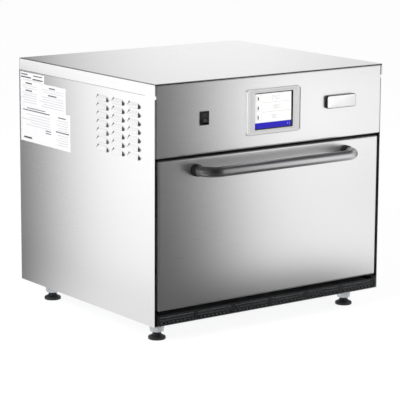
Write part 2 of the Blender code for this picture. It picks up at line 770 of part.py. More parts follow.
def make_front_frame():
    """The black face plate round the oven's mouth, with its edges folded back."""
    frame = folded_pan("front_frame", around(0, INNER_HALF),
                       (FRONT + FRAME_DEPTH, FRONT + FRAME_DEPTH + FRAME_RETURN),
                       (FRAME_FOOT, FRAME_HEAD), ("back",), "black_enamel", sheet=FRAME_SHEET)
    mouth = plate("front_frame_mouth", around(0, CAVITY_HALF),
                  (FRONT + FRAME_DEPTH - OVERRUN, FRONT + FRAME_DEPTH + FRAME_SHEET + OVERRUN),
                  (CAVITY_FLOOR, CAVITY_CEILING), None, corner=CAVITY_CORNER - LINER_SHEET)
    cut(frame, mouth)


def make_cavity():
    """The stainless liner, open in front and behind, with the duct's port in its ceiling."""
    liner = folded_pan("cavity_box", around(0, LINER_HALF), (CAVITY_FRONT, CAVITY_BACK),
                       (LINER_FOOT, LINER_HEAD), ("front", "back"), "bright_steel",
                       sheet=LINER_SHEET, bend=CAVITY_CORNER)
    port = box("cavity_box_port", around(0, DUCT_HALF - DUCT_PORT_MARGIN),
               (FRONT + DUCT_FRONT_DEPTH + DUCT_PORT_MARGIN, CAVITY_BACK - 2 * DUCT_PORT_MARGIN),
               around(LINER_HEAD, OVERRUN))
    cut(liner, port)


def hole_grid(limit_x, limit_y, pitch):
    """Places of holes on a square grid that stays within the limits round zero."""
    across = int(limit_x / pitch)
    along = int(limit_y / pitch)
    return [(column * pitch, row * pitch) for column in range(-across, across + 1)
            for row in range(-along, along + 1)]


def make_rear_wall_grille():
    """The perforated rear wall of the cavity, its holes gathered in a round field before the fan."""
    back = CAVITY_BACK - SEAT
    wall = plate("rear_wall_grille", around(0, CAVITY_HALF - SEAT), (back - GRILLE_THICKNESS, back),
                 (CAVITY_FLOOR + SEAT, CAVITY_CEILING - SEAT), "bright_steel", corner=CAVITY_CORNER)
    ends = []
    for x, z in hole_grid(GRILLE_RADIUS, GRILLE_RADIUS, GRILLE_HOLE_PITCH):
        if math.hypot(x, z) < GRILLE_RADIUS:
            ends.append(((x, back - GRILLE_THICKNESS - OVERRUN, FAN_RISE + z),
                         (x, back + OVERRUN, FAN_RISE + z)))
    cut(wall, rods("rear_wall_grille_holes", ends, GRILLE_HOLE, sides=COARSE_SIDES))


def make_impinger(name, foot):
    """A flat plate across the cavity with rows of air-jet holes."""
    y = (CAVITY_FRONT + SEAT, CAVITY_BACK - GRILLE_THICKNESS - 2 * SEAT)
    sheet = box(name, around(0, CAVITY_HALF - SEAT), y, (foot, foot + LINER_SHEET), "bright_steel")
    middle = (y[0] + y[1]) / 2
    ends = []
    margin = IMPINGER_HOLE_PITCH / 2
    for x, along in hole_grid(CAVITY_HALF - margin, CAVITY_DEPTH / 2 - margin, IMPINGER_HOLE_PITCH):
        ends.append(((x, middle + along, foot - OVERRUN), (x, middle + along, foot + OVERRUN)))
    cut(sheet, rods(name + "_holes", ends, IMPINGER_HOLE, sides=COARSE_SIDES))


def make_wire_rack():
    """The cooking rack: two runner rails with cross wires let into their tops."""
    seat = CAVITY_FLOOR + FLOOR_PLATE_RISE + LINER_SHEET + SEAT
    rail_z = seat + RACK_RAIL_RADIUS
    wire_z = rail_z + RACK_RAIL_RADIUS / 2
    front = FRONT + RACK_FRONT_DEPTH
    back = CAVITY_BACK - RACK_BACK_GAP
    half = CAVITY_HALF - RACK_SIDE_GAP
    inset = 4 * RACK_WIRE_RADIUS
    rack = rods("wire_rack", [((-half, front, rail_z), (-half, back, rail_z))], RACK_RAIL_RADIUS,
                "bright_steel", sides=COARSE_SIDES)
    far = rods("wire_rack_rail", [((half, front, rail_z), (half, back, rail_z))], RACK_RAIL_RADIUS,
               sides=COARSE_SIDES)
    pitch = (back - front - 2 * inset) / (RACK_WIRES - 1)
    ends = [((-half, front + inset + wire * pitch, wire_z), (half, front + inset + wire * pitch, wire_z))
            for wire in range(RACK_WIRES)]
    join(rack, rods("wire_rack_wires", ends, RACK_WIRE_RADIUS, sides=COARSE_SIDES))
    join(rack, far)


def make_catalyst():
    """The catalytic converter: a square honeycomb in the air's way to the fan."""
    front = PLENUM_FRONT + SEAT
    half = CATALYST_SIZE / 2
    block = box("catalytic_converter", around(0, half), (front, front + CATALYST_THICKNESS),
                around(FAN_RISE, half), "ceramic_grey")
    cell = (CATALYST_SIZE - CATALYST_WALL) / CATALYST_CELLS
    cells = []
    for column in range(CATALYST_CELLS):
        for row in range(CATALYST_CELLS):
            x = CATALYST_WALL - half + column * cell
            z = FAN_RISE + CATALYST_WALL - half + row * cell
            cells.append(((x, x + cell - CATALYST_WALL),
                          (front - OVERRUN, front + CATALYST_THICKNESS + OVERRUN),
                          (z, z + cell - CATALYST_WALL)))
    cut(block, boxes("catalytic_converter_cells", cells))


def make_plenum():
    """The box behind the cavity in which the convection fan turns."""
    plenum = folded_pan("fan_plenum", around(0, LINER_HALF), (PLENUM_FRONT, PLENUM_BACK),
                        (LINER_FOOT, LINER_HEAD), ("front",), "galvanised_steel",
                        sheet=LINER_SHEET)
    port = box("fan_plenum_port", around(0, DUCT_INLET_LENGTH / 2),
               (PLENUM_FRONT + DUCT_INLET_MARGIN, DUCT_BACK - DUCT_INLET_MARGIN),
               around(LINER_HEAD, OVERRUN))
    cut(plenum, port)
    bore = rods("fan_plenum_bore", [((0, PLENUM_BACK - OVERRUN, FAN_RISE),
                                     (0, PLENUM_BACK + OVERRUN, FAN_RISE))],
                IMPELLER_HUB_RADIUS, sides=SMALL_SIDES)
    cut(plenum, bore)
    ends = [((x, PLENUM_BACK - OVERRUN, z), (x, PLENUM_BACK + OVERRUN, z)) for x, z in heater_legs()]
    cut(plenum, rods("fan_plenum_leg_holes", ends, HEATER_WIRE_RADIUS + 2 * SEAT, sides=SMALL_SIDES))


def heater_angles():
    """Start and end angle of the heater's winding, which stops short of whole turns at the top."""
    gap = 4 * HEATER_WIRE_RADIUS / HEATER_RADIUS
    start = math.pi / 2 + gap
    return start, start + HEATER_TURNS * 2 * math.pi - 2 * gap


def heater_legs():
    """Where the two legs of the heater pass through the plenum, the second outside the winding."""
    radii = (HEATER_RADIUS, HEATER_RADIUS + 3 * HEATER_WIRE_RADIUS)
    return [(radius * math.cos(angle), FAN_RISE + radius * math.sin(angle))
            for radius, angle in zip(radii, heater_angles())]


def make_heater():
    """The tubular heater wound round the fan, with both ends led out at the back."""
    start, end = heater_angles()
    count = HEATER_STEPS * HEATER_TURNS
    front = CAVITY_BACK + HEATER_FRONT_GAP
    back = CAVITY_BACK + HEATER_LEG_REACH
    first, last = heater_legs()
    points = [Vector((first[0], back, first[1]))]
    for step in range(count + 1):
        share = step / count
        angle = start + (end - start) * share
        y = front + HEATER_PITCH * HEATER_TURNS * (1 - share)
        points.append(Vector((HEATER_RADIUS * math.cos(angle), y,
                              FAN_RISE + HEATER_RADIUS * math.sin(angle))))
    points.append(Vector((last[0], front, last[1])))
    points.append(Vector((last[0], back, last[1])))
    tube("heater_coil", points, HEATER_WIRE_RADIUS, "ceramic_grey")


def make_impeller():
    """The convection impeller: a back plate with swept blades, its hub and its shaft."""
    end = FAN_SHAFT_END - IMPELLER_FRONT
    plate_top = IMPELLER_LENGTH + IMPELLER_PLATE
    boss_top = plate_top + IMPELLER_BOSS
    profile = [(0, end), (FAN_SHAFT_RADIUS, end), (FAN_SHAFT_RADIUS, boss_top),
               (IMPELLER_NOSE_RADIUS, boss_top), (IMPELLER_NOSE_RADIUS, plate_top),
               (IMPELLER_RADIUS, plate_top), (IMPELLER_RADIUS, IMPELLER_LENGTH),
               (IMPELLER_HUB_RADIUS, IMPELLER_LENGTH), (IMPELLER_NOSE_RADIUS, IMPELLER_NOSE_RISE),
               (0, IMPELLER_NOSE_RISE)]
    fan = turned("convection_impeller", profile, (0, IMPELLER_FRONT, FAN_RISE), "bright_steel",
                 axis=(0, 1, 0), steps=2 * IMPELLER_BLADES)
    shape = bmesh.new()
    span = IMPELLER_RADIUS - IMPELLER_INNER_RADIUS
    reach = (IMPELLER_RADIUS + IMPELLER_INNER_RADIUS) / 2
    for blade in range(IMPELLER_BLADES):
        corners = add_box(shape, around(0, span / 2),
                          (IMPELLER_FRONT, IMPELLER_BACK + IMPELLER_PLATE / 2),
                          around(0, IMPELLER_BLADE_THICKNESS / 2))
        turn = blade * 2 * math.pi / IMPELLER_BLADES
        matrix = (Matrix.Translation((0, 0, FAN_RISE)) @ Matrix.Rotation(turn, 4, 'Y')
                  @ Matrix.Translation((reach, 0, 0)) @ Matrix.Rotation(IMPELLER_BLADE_ANGLE, 4, 'Y'))
        bmesh.ops.transform(shape, verts=corners, matrix=matrix)
    join(fan, place("convection_impeller_blades", shape, None))
    return fan


def make_convection_motor():
    """The fan motor behind the plenum, bored for the shaft."""
    start = PLENUM_BACK + SEAT
    length = MOTOR_FLANGE + MOTOR_LENGTH
    profile = [(0, length + MOTOR_CAP), (MOTOR_CAP_RADIUS, length + MOTOR_CAP), (MOTOR_CAP_RADIUS, length),
               (MOTOR_RADIUS - MOTOR_EDGE, length), (MOTOR_RADIUS, length - MOTOR_EDGE),
               (MOTOR_RADIUS, MOTOR_FLANGE), (MOTOR_FLANGE_RADIUS, MOTOR_FLANGE),
               (MOTOR_FLANGE_RADIUS, 0), (0, 0)]
    motor = turned("convection_motor", profile, (0, start, FAN_RISE), "galvanised_steel", axis=(0, 1, 0))
    bore = rods("convection_motor_bore", [((0, start - OVERRUN, FAN_RISE),
                                           (0, FAN_SHAFT_END + OVERRUN, FAN_RISE))],
                FAN_SHAFT_RADIUS + 2 * SEAT)
    cut(motor, bore)


def make_hot_air_duct():
    """The duct on the liner's roof that brings hot air from the fan to the upper plate."""
    folded_pan("hot_air_duct", around(0, DUCT_HALF), (FRONT + DUCT_FRONT_DEPTH, DUCT_BACK),
               (LINER_HEAD + SEAT, DUCT_HEAD), ("foot",), "galvanised_steel")


def throat_limits(side, gap):
    """Limits of the waveguide's throat through the insulation, grown by a gap."""
    x = sorted((side * (LINER_HALF + SEAT), side * (WAVEGUIDE_X + SEAT)))
    y = (FRONT + THROAT_FRONT_DEPTH - gap, FRONT + THROAT_FRONT_DEPTH + THROAT_LENGTH + gap)
    z = (THROAT_FOOT - gap, THROAT_FOOT + THROAT_HEIGHT + gap)
    return x, y, z


def make_insulation():
    """The insulating blanket wrapped round the liner and its duct."""
    inner_x = around(0, LINER_HALF + SEAT)
    y = (FRONT + INSULATION_FRONT_DEPTH + SEAT, PLENUM_BACK)
    foot = LINER_FOOT - SEAT
    head = DUCT_HEAD + SEAT
    blanket = box("insulation_blanket", around(0, INSULATION_HALF), y,
                  (foot - INSULATION, head + INSULATION), "insulation_white")
    cut(blanket, box("insulation_bore", inner_x, (y[0] - OVERRUN, y[1] + OVERRUN), (foot, head)))
    passages = []
    for side in (-1, 1):
        x, y, z = throat_limits(side, SEAT)
        passages.append(((x[0] - OVERRUN, x[1] + OVERRUN), y, z))
    cut(blanket, boxes("insulation_throats", passages))


def make_microwave_feed(hand, side):
    """One waveguide against the blanket and the finned magnetron on its outer face."""
    outer = WAVEGUIDE_X + WAVEGUIDE_THICKNESS
    guide = box("waveguide_" + hand, sorted((side * WAVEGUIDE_X, side * outer)),
                (FRONT + WAVEGUIDE_FRONT_DEPTH, FRONT + WAVEGUIDE_FRONT_DEPTH + WAVEGUIDE_LENGTH),
                (WAVEGUIDE_FOOT, WAVEGUIDE_FOOT + WAVEGUIDE_HEIGHT), "galvanised_steel")
    throat = throat_limits(side, 0)
    join(guide, box("waveguide_throat_" + hand, *throat))
    y = FRONT + MAGNETRON_DEPTH
    port = ((side * (outer - ANTENNA_LENGTH - SEAT), y, MAGNETRON_RISE),
            (side * (outer + OVERRUN), y, MAGNETRON_RISE))
    cut(guide, rods("waveguide_port_" + hand, [port], ANTENNA_RADIUS + 2 * SEAT, sides=SMALL_SIDES))
    start = outer + SEAT
    end = start + MAGNETRON_LENGTH
    axis = ((side * start, y, MAGNETRON_RISE), (side * end, y, MAGNETRON_RISE))
    tube_body = rods("magnetron_" + hand, [axis], MAGNETRON_RADIUS, "galvanised_steel",
                     sides=SMALL_SIDES)
    half = MAGNETRON_FIN_SIZE / 2
    pitch = (MAGNETRON_LENGTH - 2 * MAGNETRON_YOKE - 2 * MAGNETRON_FIN) / (MAGNETRON_FINS + 1)
    fins = []
    for fin in range(MAGNETRON_FINS):
        middle = start + MAGNETRON_YOKE + MAGNETRON_FIN + pitch * (fin + 1)
        x = sorted((side * (middle - MAGNETRON_FIN / 2), side * (middle + MAGNETRON_FIN / 2)))
        fins.append((x, around(y, half - MAGNETRON_FIN), around(MAGNETRON_RISE, half)))
    join(tube_body, boxes("magnetron_fins_" + hand, fins))
    yoke = boxes("magnetron_yoke_" + hand,
                 [(sorted((side * start, side * end)), around(y, half), around(MAGNETRON_RISE, half))])
    inner = boxes("magnetron_yoke_space_" + hand,
                  [(sorted((side * (start + MAGNETRON_YOKE), side * (end - MAGNETRON_YOKE))),
                    around(y, half - MAGNETRON_YOKE), around(MAGNETRON_RISE, half + OVERRUN))])
    cut(yoke, inner)
    join(tube_body, yoke)
    antenna = ((side * (start + OVERRUN), y, MAGNETRON_RISE),
               (side * (outer - ANTENNA_LENGTH), y, MAGNETRON_RISE))
    join(tube_body, rods("magnetron_antenna_" + hand, [antenna], ANTENNA_RADIUS, sides=SMALL_SIDES))


def make_transformer(hand, side):
    """A high-voltage transformer: a laminated core with two windows and the winding in them."""
    x = around(side * TRANSFORMER_X, CORE_LENGTH / 2)
    front = BACK - TRANSFORMER_BACK_GAP
    foot = BASE_TOP + SEAT
    core = box("transformer_" + hand, x, (front, front + CORE_DEPTH), (foot, foot + CORE_HEIGHT),
               "galvanised_steel")
    window = (CORE_LENGTH - 4 * CORE_LIMB) / 2
    z = (foot + CORE_LIMB, foot + CORE_HEIGHT - CORE_LIMB)
    windows = []
    for start in (x[0] + CORE_LIMB, x[1] - CORE_LIMB - window):
        windows.append(((start, start + window), (front - OVERRUN, front + CORE_DEPTH + OVERRUN), z))
    cut(core, boxes("transformer_windows_" + hand, windows))
    coil = box("transformer_coil_" + hand, (x[0] + CORE_LIMB + SEAT, x[1] - CORE_LIMB - SEAT),
               (front - COIL_PROUD, front + CORE_DEPTH + COIL_PROUD),
               (z[0] + 2 * SEAT, z[1] - 2 * SEAT), edge=COIL_EDGE)
    join(core, coil)


def make_capacitor():
    """The oval high-voltage capacitor with its two terminals."""
    foot = BASE_TOP + SEAT
    head = foot + CAPACITOR_HEIGHT
    y = BACK - CAPACITOR_BACK_GAP
    can = plate("capacitor", around(CAPACITOR_X, CAPACITOR_LENGTH / 2),
                around(y, CAPACITOR_THICKNESS / 2), (foot, head), "bright_steel",
                corner=CAPACITOR_THICKNESS / 2 - SHEET, across=2)
    tabs = []
    for side in (-1, 1):
        tabs.append((around(CAPACITOR_X + side * TERMINAL_SPACING / 2, TERMINAL_SIZE / 2),
                     around(y, SHEET), (head - SHEET, head + TERMINAL_HEIGHT)))
    join(can, boxes("capacitor_terminals", tabs))


def make_component_shelf():
    """The shelf over the insulation that carries the relay board."""
    folded_pan("component_shelf", around(0, INNER_HALF),
               (FRONT + SHELF_FRONT_DEPTH, BACK - SHELF_BACK_GAP),
               (SHELF_FOOT, SHELF_FOOT + FRAME_RETURN), ("head", "front", "left", "right"),
               "galvanised_steel")


def make_relay_board():
    """The relay board on the shelf, with its row of relays and a connector."""
    foot = SHELF_TOP + SEAT
    front = FRONT + RELAY_BOARD_FRONT_DEPTH
    x = around(RELAY_BOARD_X, RELAY_BOARD_LENGTH / 2)
    board = box("relay_board", x, (front, front + RELAY_BOARD_DEPTH), (foot, foot + BOARD_THICKNESS),
                "board_green")
    pitch = RELAY_BOARD_LENGTH / RELAY_COUNT
    blocks = []
    for relay in range(RELAY_COUNT):
        middle = x[0] + pitch * (relay + 0.5)
        blocks.append((around(middle, RELAY_LENGTH / 2),
                       around(front + RELAY_BOARD_DEPTH / 2, RELAY_DEPTH / 2),
                       (foot + BOARD_THICKNESS / 2, foot + RELAY_HEIGHT)))
    join(board, boxes("relay_blocks", blocks))


def make_cooling_fan():
    """The axial cooling fan at the back: a square frame with four struts and its rotor."""
    back = REAR_INNER - SEAT
    front = back - COOLING_THICKNESS
    half = COOLING_SIZE / 2
    frame = box("cooling_fan_frame", around(0, half), (front, back), around(COOLING_RISE, half),
                "black_plastic")
    axis = ((0, front - OVERRUN, COOLING_RISE), (0, back + OVERRUN, COOLING_RISE))
    cut(frame, rods("cooling_fan_bore", [axis], COOLING_BORE_RADIUS))
    strut_back = front + COOLING_STRUT_DEPTH
    reach = COOLING_BORE_RADIUS + OVERRUN / 2
    struts = boxes("cooling_fan_strut_up", [(around(0, COOLING_STRUT / 2), (front, strut_back),
                                             around(COOLING_RISE, reach))])
    cross = boxes("cooling_fan_strut_across", [(around(0, reach), (front, strut_back),
                                                around(COOLING_RISE, COOLING_STRUT / 2))])
    hub = rods("cooling_fan_hub", [((0, front, COOLING_RISE), (0, strut_back, COOLING_RISE))],
               COOLING_HUB_RADIUS)
    join(frame, struts)
    join(frame, cross)
    join(frame, hub)
    start = strut_back + SEAT
    depth = back - start - SEAT
    profile = [(0, depth), (COOLING_HUB_RADIUS - MOTOR_EDGE / 2, depth),
               (COOLING_HUB_RADIUS, depth - MOTOR_EDGE / 2), (COOLING_HUB_RADIUS, 0), (0, 0)]
    rotor = turned("cooling_fan_rotor", profile, (0, start, COOLING_RISE), "black_plastic", axis=(0, 1, 0))
    shape = bmesh.new()
    inner = COOLING_HUB_RADIUS - OVERRUN / 2
    for blade in range(ROTOR_BLADES):
        corners = add_box(shape, (inner, ROTOR_RADIUS), around(0, ROTOR_BLADE_CHORD / 2),
                          around(0, ROTOR_BLADE_THICKNESS / 2))
        turn = blade * 2 * math.pi / ROTOR_BLADES
        matrix = (Matrix.Translation((0, start + depth / 2, COOLING_RISE)) @ Matrix.Rotation(turn, 4, 'Y')
                  @ Matrix.Rotation(ROTOR_PITCH, 4, 'X'))
        bmesh.ops.transform(shape, verts=corners, matrix=matrix)
    join(rotor, place("cooling_fan_blades", shape, None))


def make_cord_gland():
    """The cord gland in the rear panel: flange and dome outside, threaded neck inside."""
    neck = SHEET + 2 * SEAT + GLAND_THREAD
    start = REAR_FACE + SEAT - neck
    flange = neck + GLAND_FLANGE
    top = flange + GLAND_DOME
    dome_radius = (GLAND_NECK_RADIUS + GLAND_BORE_RADIUS) / 2
    profile = [(GLAND_BORE_RADIUS, top), (dome_radius, top), (GLAND_NECK_RADIUS, flange),
               (GLAND_FLANGE_RADIUS, flange), (GLAND_FLANGE_RADIUS, neck), (GLAND_NECK_RADIUS, neck),
               (GLAND_NECK_RADIUS, 0), (GLAND_BORE_RADIUS, 0), (GLAND_BORE_RADIUS, top)]
    turned("cord_gland", profile, (GLAND_X, start, GLAND_RISE), "black_plastic", axis=(0, 1, 0))


def make_fascia():
    """The folded control fascia with its cut-outs for the display and the switch."""
    fascia = folded_pan("control_fascia", around(0, INNER_HALF), (FRONT, FRONT + FASCIA_RETURN),
                        (FASCIA_FOOT, HEIGHT - SHEET - SEAT), ("back",), "brushed_steel")
    through = around(FRONT, OVERRUN)
    openings = [(around(0, DISPLAY_HALF), through, (DISPLAY_FOOT, DISPLAY_HEAD)),
                (around(SWITCH_X, SWITCH_LENGTH / 2 - SWITCH_RIM_STEP + SEAT), through,
                 around(HEIGHT - SWITCH_DROP, SWITCH_HEIGHT / 2 - SWITCH_RIM_STEP + SEAT))]
    cut(fascia, boxes("control_fascia_openings", openings))


def make_screen():
    """The silver bezel, the touch display in it and the control board behind."""
    foot = HEIGHT - BEZEL_DROP - BEZEL_HEIGHT
    bezel = box("screen_bezel", around(0, BEZEL_LENGTH / 2), (FRONT - BEZEL_THICKNESS, FRONT - SEAT),
                (foot, foot + BEZEL_HEIGHT), "silver_plastic", edge=BEZEL_EDGE)
    window = box("screen_bezel_window", around(0, DISPLAY_HALF),
                 (FRONT - BEZEL_THICKNESS - OVERRUN, FRONT + OVERRUN), (DISPLAY_FOOT, DISPLAY_HEAD))
    cut(bezel, window)
    box("touch_display", around(0, DISPLAY_HALF - SEAT),
        (DISPLAY_BACK - DISPLAY_THICKNESS, DISPLAY_BACK), (DISPLAY_FOOT + SEAT, DISPLAY_HEAD - SEAT),
        "display_white")
    middle = (DISPLAY_FOOT + DISPLAY_HEAD) / 2
    front = DISPLAY_BACK + SEAT
    board = box("control_board", around(0, BOARD_LENGTH / 2), (front, front + BOARD_THICKNESS),
                around(middle, BOARD_HEIGHT / 2), "board_green")
    chips = []
    for side in (-1, 1):
        chips.append((around(side * BOARD_LENGTH / 4, CHIP_LENGTH / 2),
                      (front + BOARD_THICKNESS / 2, front + BOARD_THICKNESS + CHIP_THICKNESS),
                      around(middle, CHIP_LENGTH / 2)))
    join(board, boxes("control_board_chips", chips))


def make_switch():
    """The mains rocker switch: a framed housing with a pocket, and the rocker that tilts in it."""
    z = HEIGHT - SWITCH_DROP
    half_x = SWITCH_LENGTH / 2
    half_z = SWITCH_HEIGHT / 2
    housing = box("switch_housing", around(SWITCH_X, half_x - SWITCH_RIM_STEP),
                  (FRONT - SWITCH_RIM_PROUD + SEAT, FRONT + SWITCH_BODY_DEPTH),
                  around(z, half_z - SWITCH_RIM_STEP), "black_plastic")
    rim = box("switch_rim", around(SWITCH_X, half_x), (FRONT - SWITCH_RIM_PROUD, FRONT - SEAT),
              around(z, half_z), edge=SWITCH_RIM_PROUD / 3, steps=1)
    join(housing, rim)
    pocket_x = half_x - SWITCH_RIM - SWITCH_RIM_STEP
    pocket_z = half_z - SWITCH_RIM
    pocket = box("switch_pocket", around(SWITCH_X, pocket_x),
                 (FRONT - SWITCH_RIM_PROUD - OVERRUN, FRONT + SWITCH_POCKET_DEPTH),
                 around(z, pocket_z - SEAT))
    cut(housing, pocket)
    pivot_y = FRONT + ROCKER_PIVOT_DEPTH
    half = ROCKER_HEIGHT / 2
    outline = [(-ROCKER_CREST, half), (ROCKER_BACK_DEPTH - ROCKER_PIVOT_DEPTH / 2, half),
               (ROCKER_BACK_DEPTH, 0), (ROCKER_BACK_DEPTH - ROCKER_PIVOT_DEPTH / 2, -half),
               (-ROCKER_CREST, -half), (-ROCKER_DISH, 0)]
    shape = bmesh.new()
    ring = [shape.verts.new((SWITCH_X - pocket_x + SEAT, FRONT + y, z + up)) for y, up in outline]
    face = shape.faces.new(ring)
    sweep = bmesh.ops.extrude_face_region(shape, geom=[face])["geom"]
    far = [vertex for vertex in sweep if isinstance(vertex, bmesh.types.BMVert)]
    bmesh.ops.translate(shape, verts=far, vec=(2 * (pocket_x - SEAT), 0, 0))
    bmesh.ops.recalc_face_normals(shape, faces=shape.faces[:])
    rocker = place("power_rocker", shape, "black_plastic", pivot=(SWITCH_X, pivot_y, z))
    rocker.rotation_euler = (-ROCKER_TILT, 0, 0)


def make_badge_block():
    """The blank nameplate block on the fascia."""
    shape = bmesh.new()
    add_box(shape, around(BADGE_X, BADGE_LENGTH / 2), (FRONT - BADGE_THICKNESS, FRONT - SEAT),
            around(HEIGHT - BADGE_DROP, BADGE_HEIGHT / 2))
    along = [edge for edge in shape.edges
             if abs(edge.verts[0].co.y - edge.verts[1].co.y) > BADGE_THICKNESS / 2]
    bmesh.ops.bevel(shape, geom=along, offset=BADGE_CORNER, segments=BEND_STEPS + 1, profile=0.5,
                    affect='EDGES')
    block = place("badge_block", shape, "badge_white")
    rounding = block.modifiers.new("edge", 'BEVEL')
    rounding.width = BEZEL_EDGE / 2
    rounding.segments = 1
    rounding.angle_limit = math.pi * SMOOTH_ANGLE_SHARE * 2


def hinge_slots():
    """Limits of the slots through which the hinge arms enter the door."""
    slots = []
    for side in (-1, 1):
        slots.append((around(side * HINGE_X, HINGE_ARM / 2 + HINGE_SLOT_GAP),
                      (FRONT + HINGE_SLOT_FRONT_DEPTH, DOOR_PANEL_BACK + OVERRUN),
                      (DOOR_FOOT - OVERRUN, HINGE_Z + HINGE_ARM_ROOT + HINGE_SLOT_GAP)))
    return slots


def make_door_panels():
    """The door's two folded pans, one in the other, with the insulating slab between them."""
    skin = folded_pan("door_outer_skin", around(0, DOOR_HALF), (FRONT, FRONT + DOOR_SKIN_DEPTH),
                      (DOOR_FOOT, DOOR_HEAD), ("back",), "brushed_steel")
    cut(skin, boxes("door_skin_slots", hinge_slots()))
    lap = SHEET + SEAT
    panel = folded_pan("door_inner_panel", around(0, DOOR_HALF - lap),
                       (FRONT + DOOR_PANEL_FRONT_DEPTH, DOOR_PANEL_BACK),
                       (DOOR_FOOT + lap, DOOR_HEAD - lap), ("front",), "bright_steel",
                       bend=BEND_RADIUS / 2)
    cut(panel, boxes("door_panel_slots", hinge_slots()))
    slab = box("door_insulation", around(0, HINGE_X - CLEVIS_INNER / 2 - CLEVIS_CHEEK - SEAT),
               (FRONT + lap, DOOR_PANEL_BACK - lap), (DOOR_FOOT + 2 * lap, DOOR_HEAD - 2 * lap),
               "insulation_white", edge=BEND_RADIUS, steps=1)
    return [skin, panel, slab]


def make_door_choke():
    """The microwave choke: a raised frame behind the door with a comb of slots, and the seal round it."""
    front = DOOR_PANEL_BACK + SEAT
    half = CAVITY_HALF + CHOKE_OUTER_MARGIN
    foot = CAVITY_FLOOR - CHOKE_OUTER_MARGIN
    head = CAVITY_CEILING + CHOKE_OUTER_MARGIN
    choke = box("door_choke_frame", around(0, half), (front, front + CHOKE_THICKNESS), (foot, head),
                "bright_steel")
    through = (front - OVERRUN, front + CHOKE_THICKNESS + OVERRUN)
    window = box("door_choke_window", around(0, CAVITY_HALF - CHOKE_INNER_MARGIN), through,
                 (CAVITY_FLOOR + CHOKE_INNER_MARGIN, CAVITY_CEILING - CHOKE_INNER_MARGIN))
    cut(choke, window)
    slots = []
    pitch = 2 * half / CHOKE_SLOTS_ACROSS
    for slot in range(CHOKE_SLOTS_ACROSS):
        x = around((slot + 0.5) * pitch - half, CHOKE_SLOT / 2)
        slots.append((x, through, (foot - OVERRUN, foot + CHOKE_SLOT_LENGTH)))
        slots.append((x, through, (head - CHOKE_SLOT_LENGTH, head + OVERRUN)))
    rise = (head - foot - 2 * CHOKE_SLOT_LENGTH) / CHOKE_SLOTS_UP
    for slot in range(CHOKE_SLOTS_UP):
        z = around(foot + CHOKE_SLOT_LENGTH + (slot + 0.5) * rise, CHOKE_SLOT / 2)
        slots.append(((-half - OVERRUN, CHOKE_SLOT_LENGTH - half), through, z))
        slots.append(((half - CHOKE_SLOT_LENGTH, half + OVERRUN), through, z))
    cut(choke, boxes("door_choke_slots", slots))
    radius = (FRAME_DEPTH - DOOR_DEPTH - 2 * SEAT) / 2
    y = front + radius
    reach = radius + 2 * SEAT
    corners = [(-half - reach, y, foot - reach), (half + reach, y, foot - reach),
               (half + reach, y, head + reach), (-half - reach, y, head + reach)]
    seal = tube("door_seal", rounded_path(corners, reach, BEND_STEPS, closed=True), radius,
                "seal_grey", closed=True)
    return [choke, seal]


def make_handle():
    """The bent tube handle and the two black collars at its ends."""
    bar_y = FRONT - HANDLE_REACH
    corners = [(-HANDLE_X, FRONT - SEAT, HANDLE_Z), (-HANDLE_X, bar_y, HANDLE_Z),
               (HANDLE_X, bar_y, HANDLE_Z), (HANDLE_X, FRONT - SEAT, HANDLE_Z)]
    bar = tube("handle_bar", rounded_path(corners, HANDLE_BEND, HANDLE_BEND_STEPS), HANDLE_RADIUS,
               "satin_grey", resolution=4)
    pieces = [bar]
    bore = HANDLE_RADIUS + SEAT
    profile = [(bore, COLLAR_LENGTH), (COLLAR_RADIUS - COLLAR_EDGE, COLLAR_LENGTH),
               (COLLAR_RADIUS, COLLAR_LENGTH - COLLAR_EDGE), (COLLAR_RADIUS, 0), (bore, 0),
               (bore, COLLAR_LENGTH)]
    for hand, side in (("left", -1), ("right", 1)):
        pieces.append(turned("handle_collar_" + hand, profile, (side * HANDLE_X, FRONT - SEAT, HANDLE_Z),
                             "black_plastic", axis=(0, -1, 0)))
    return pieces


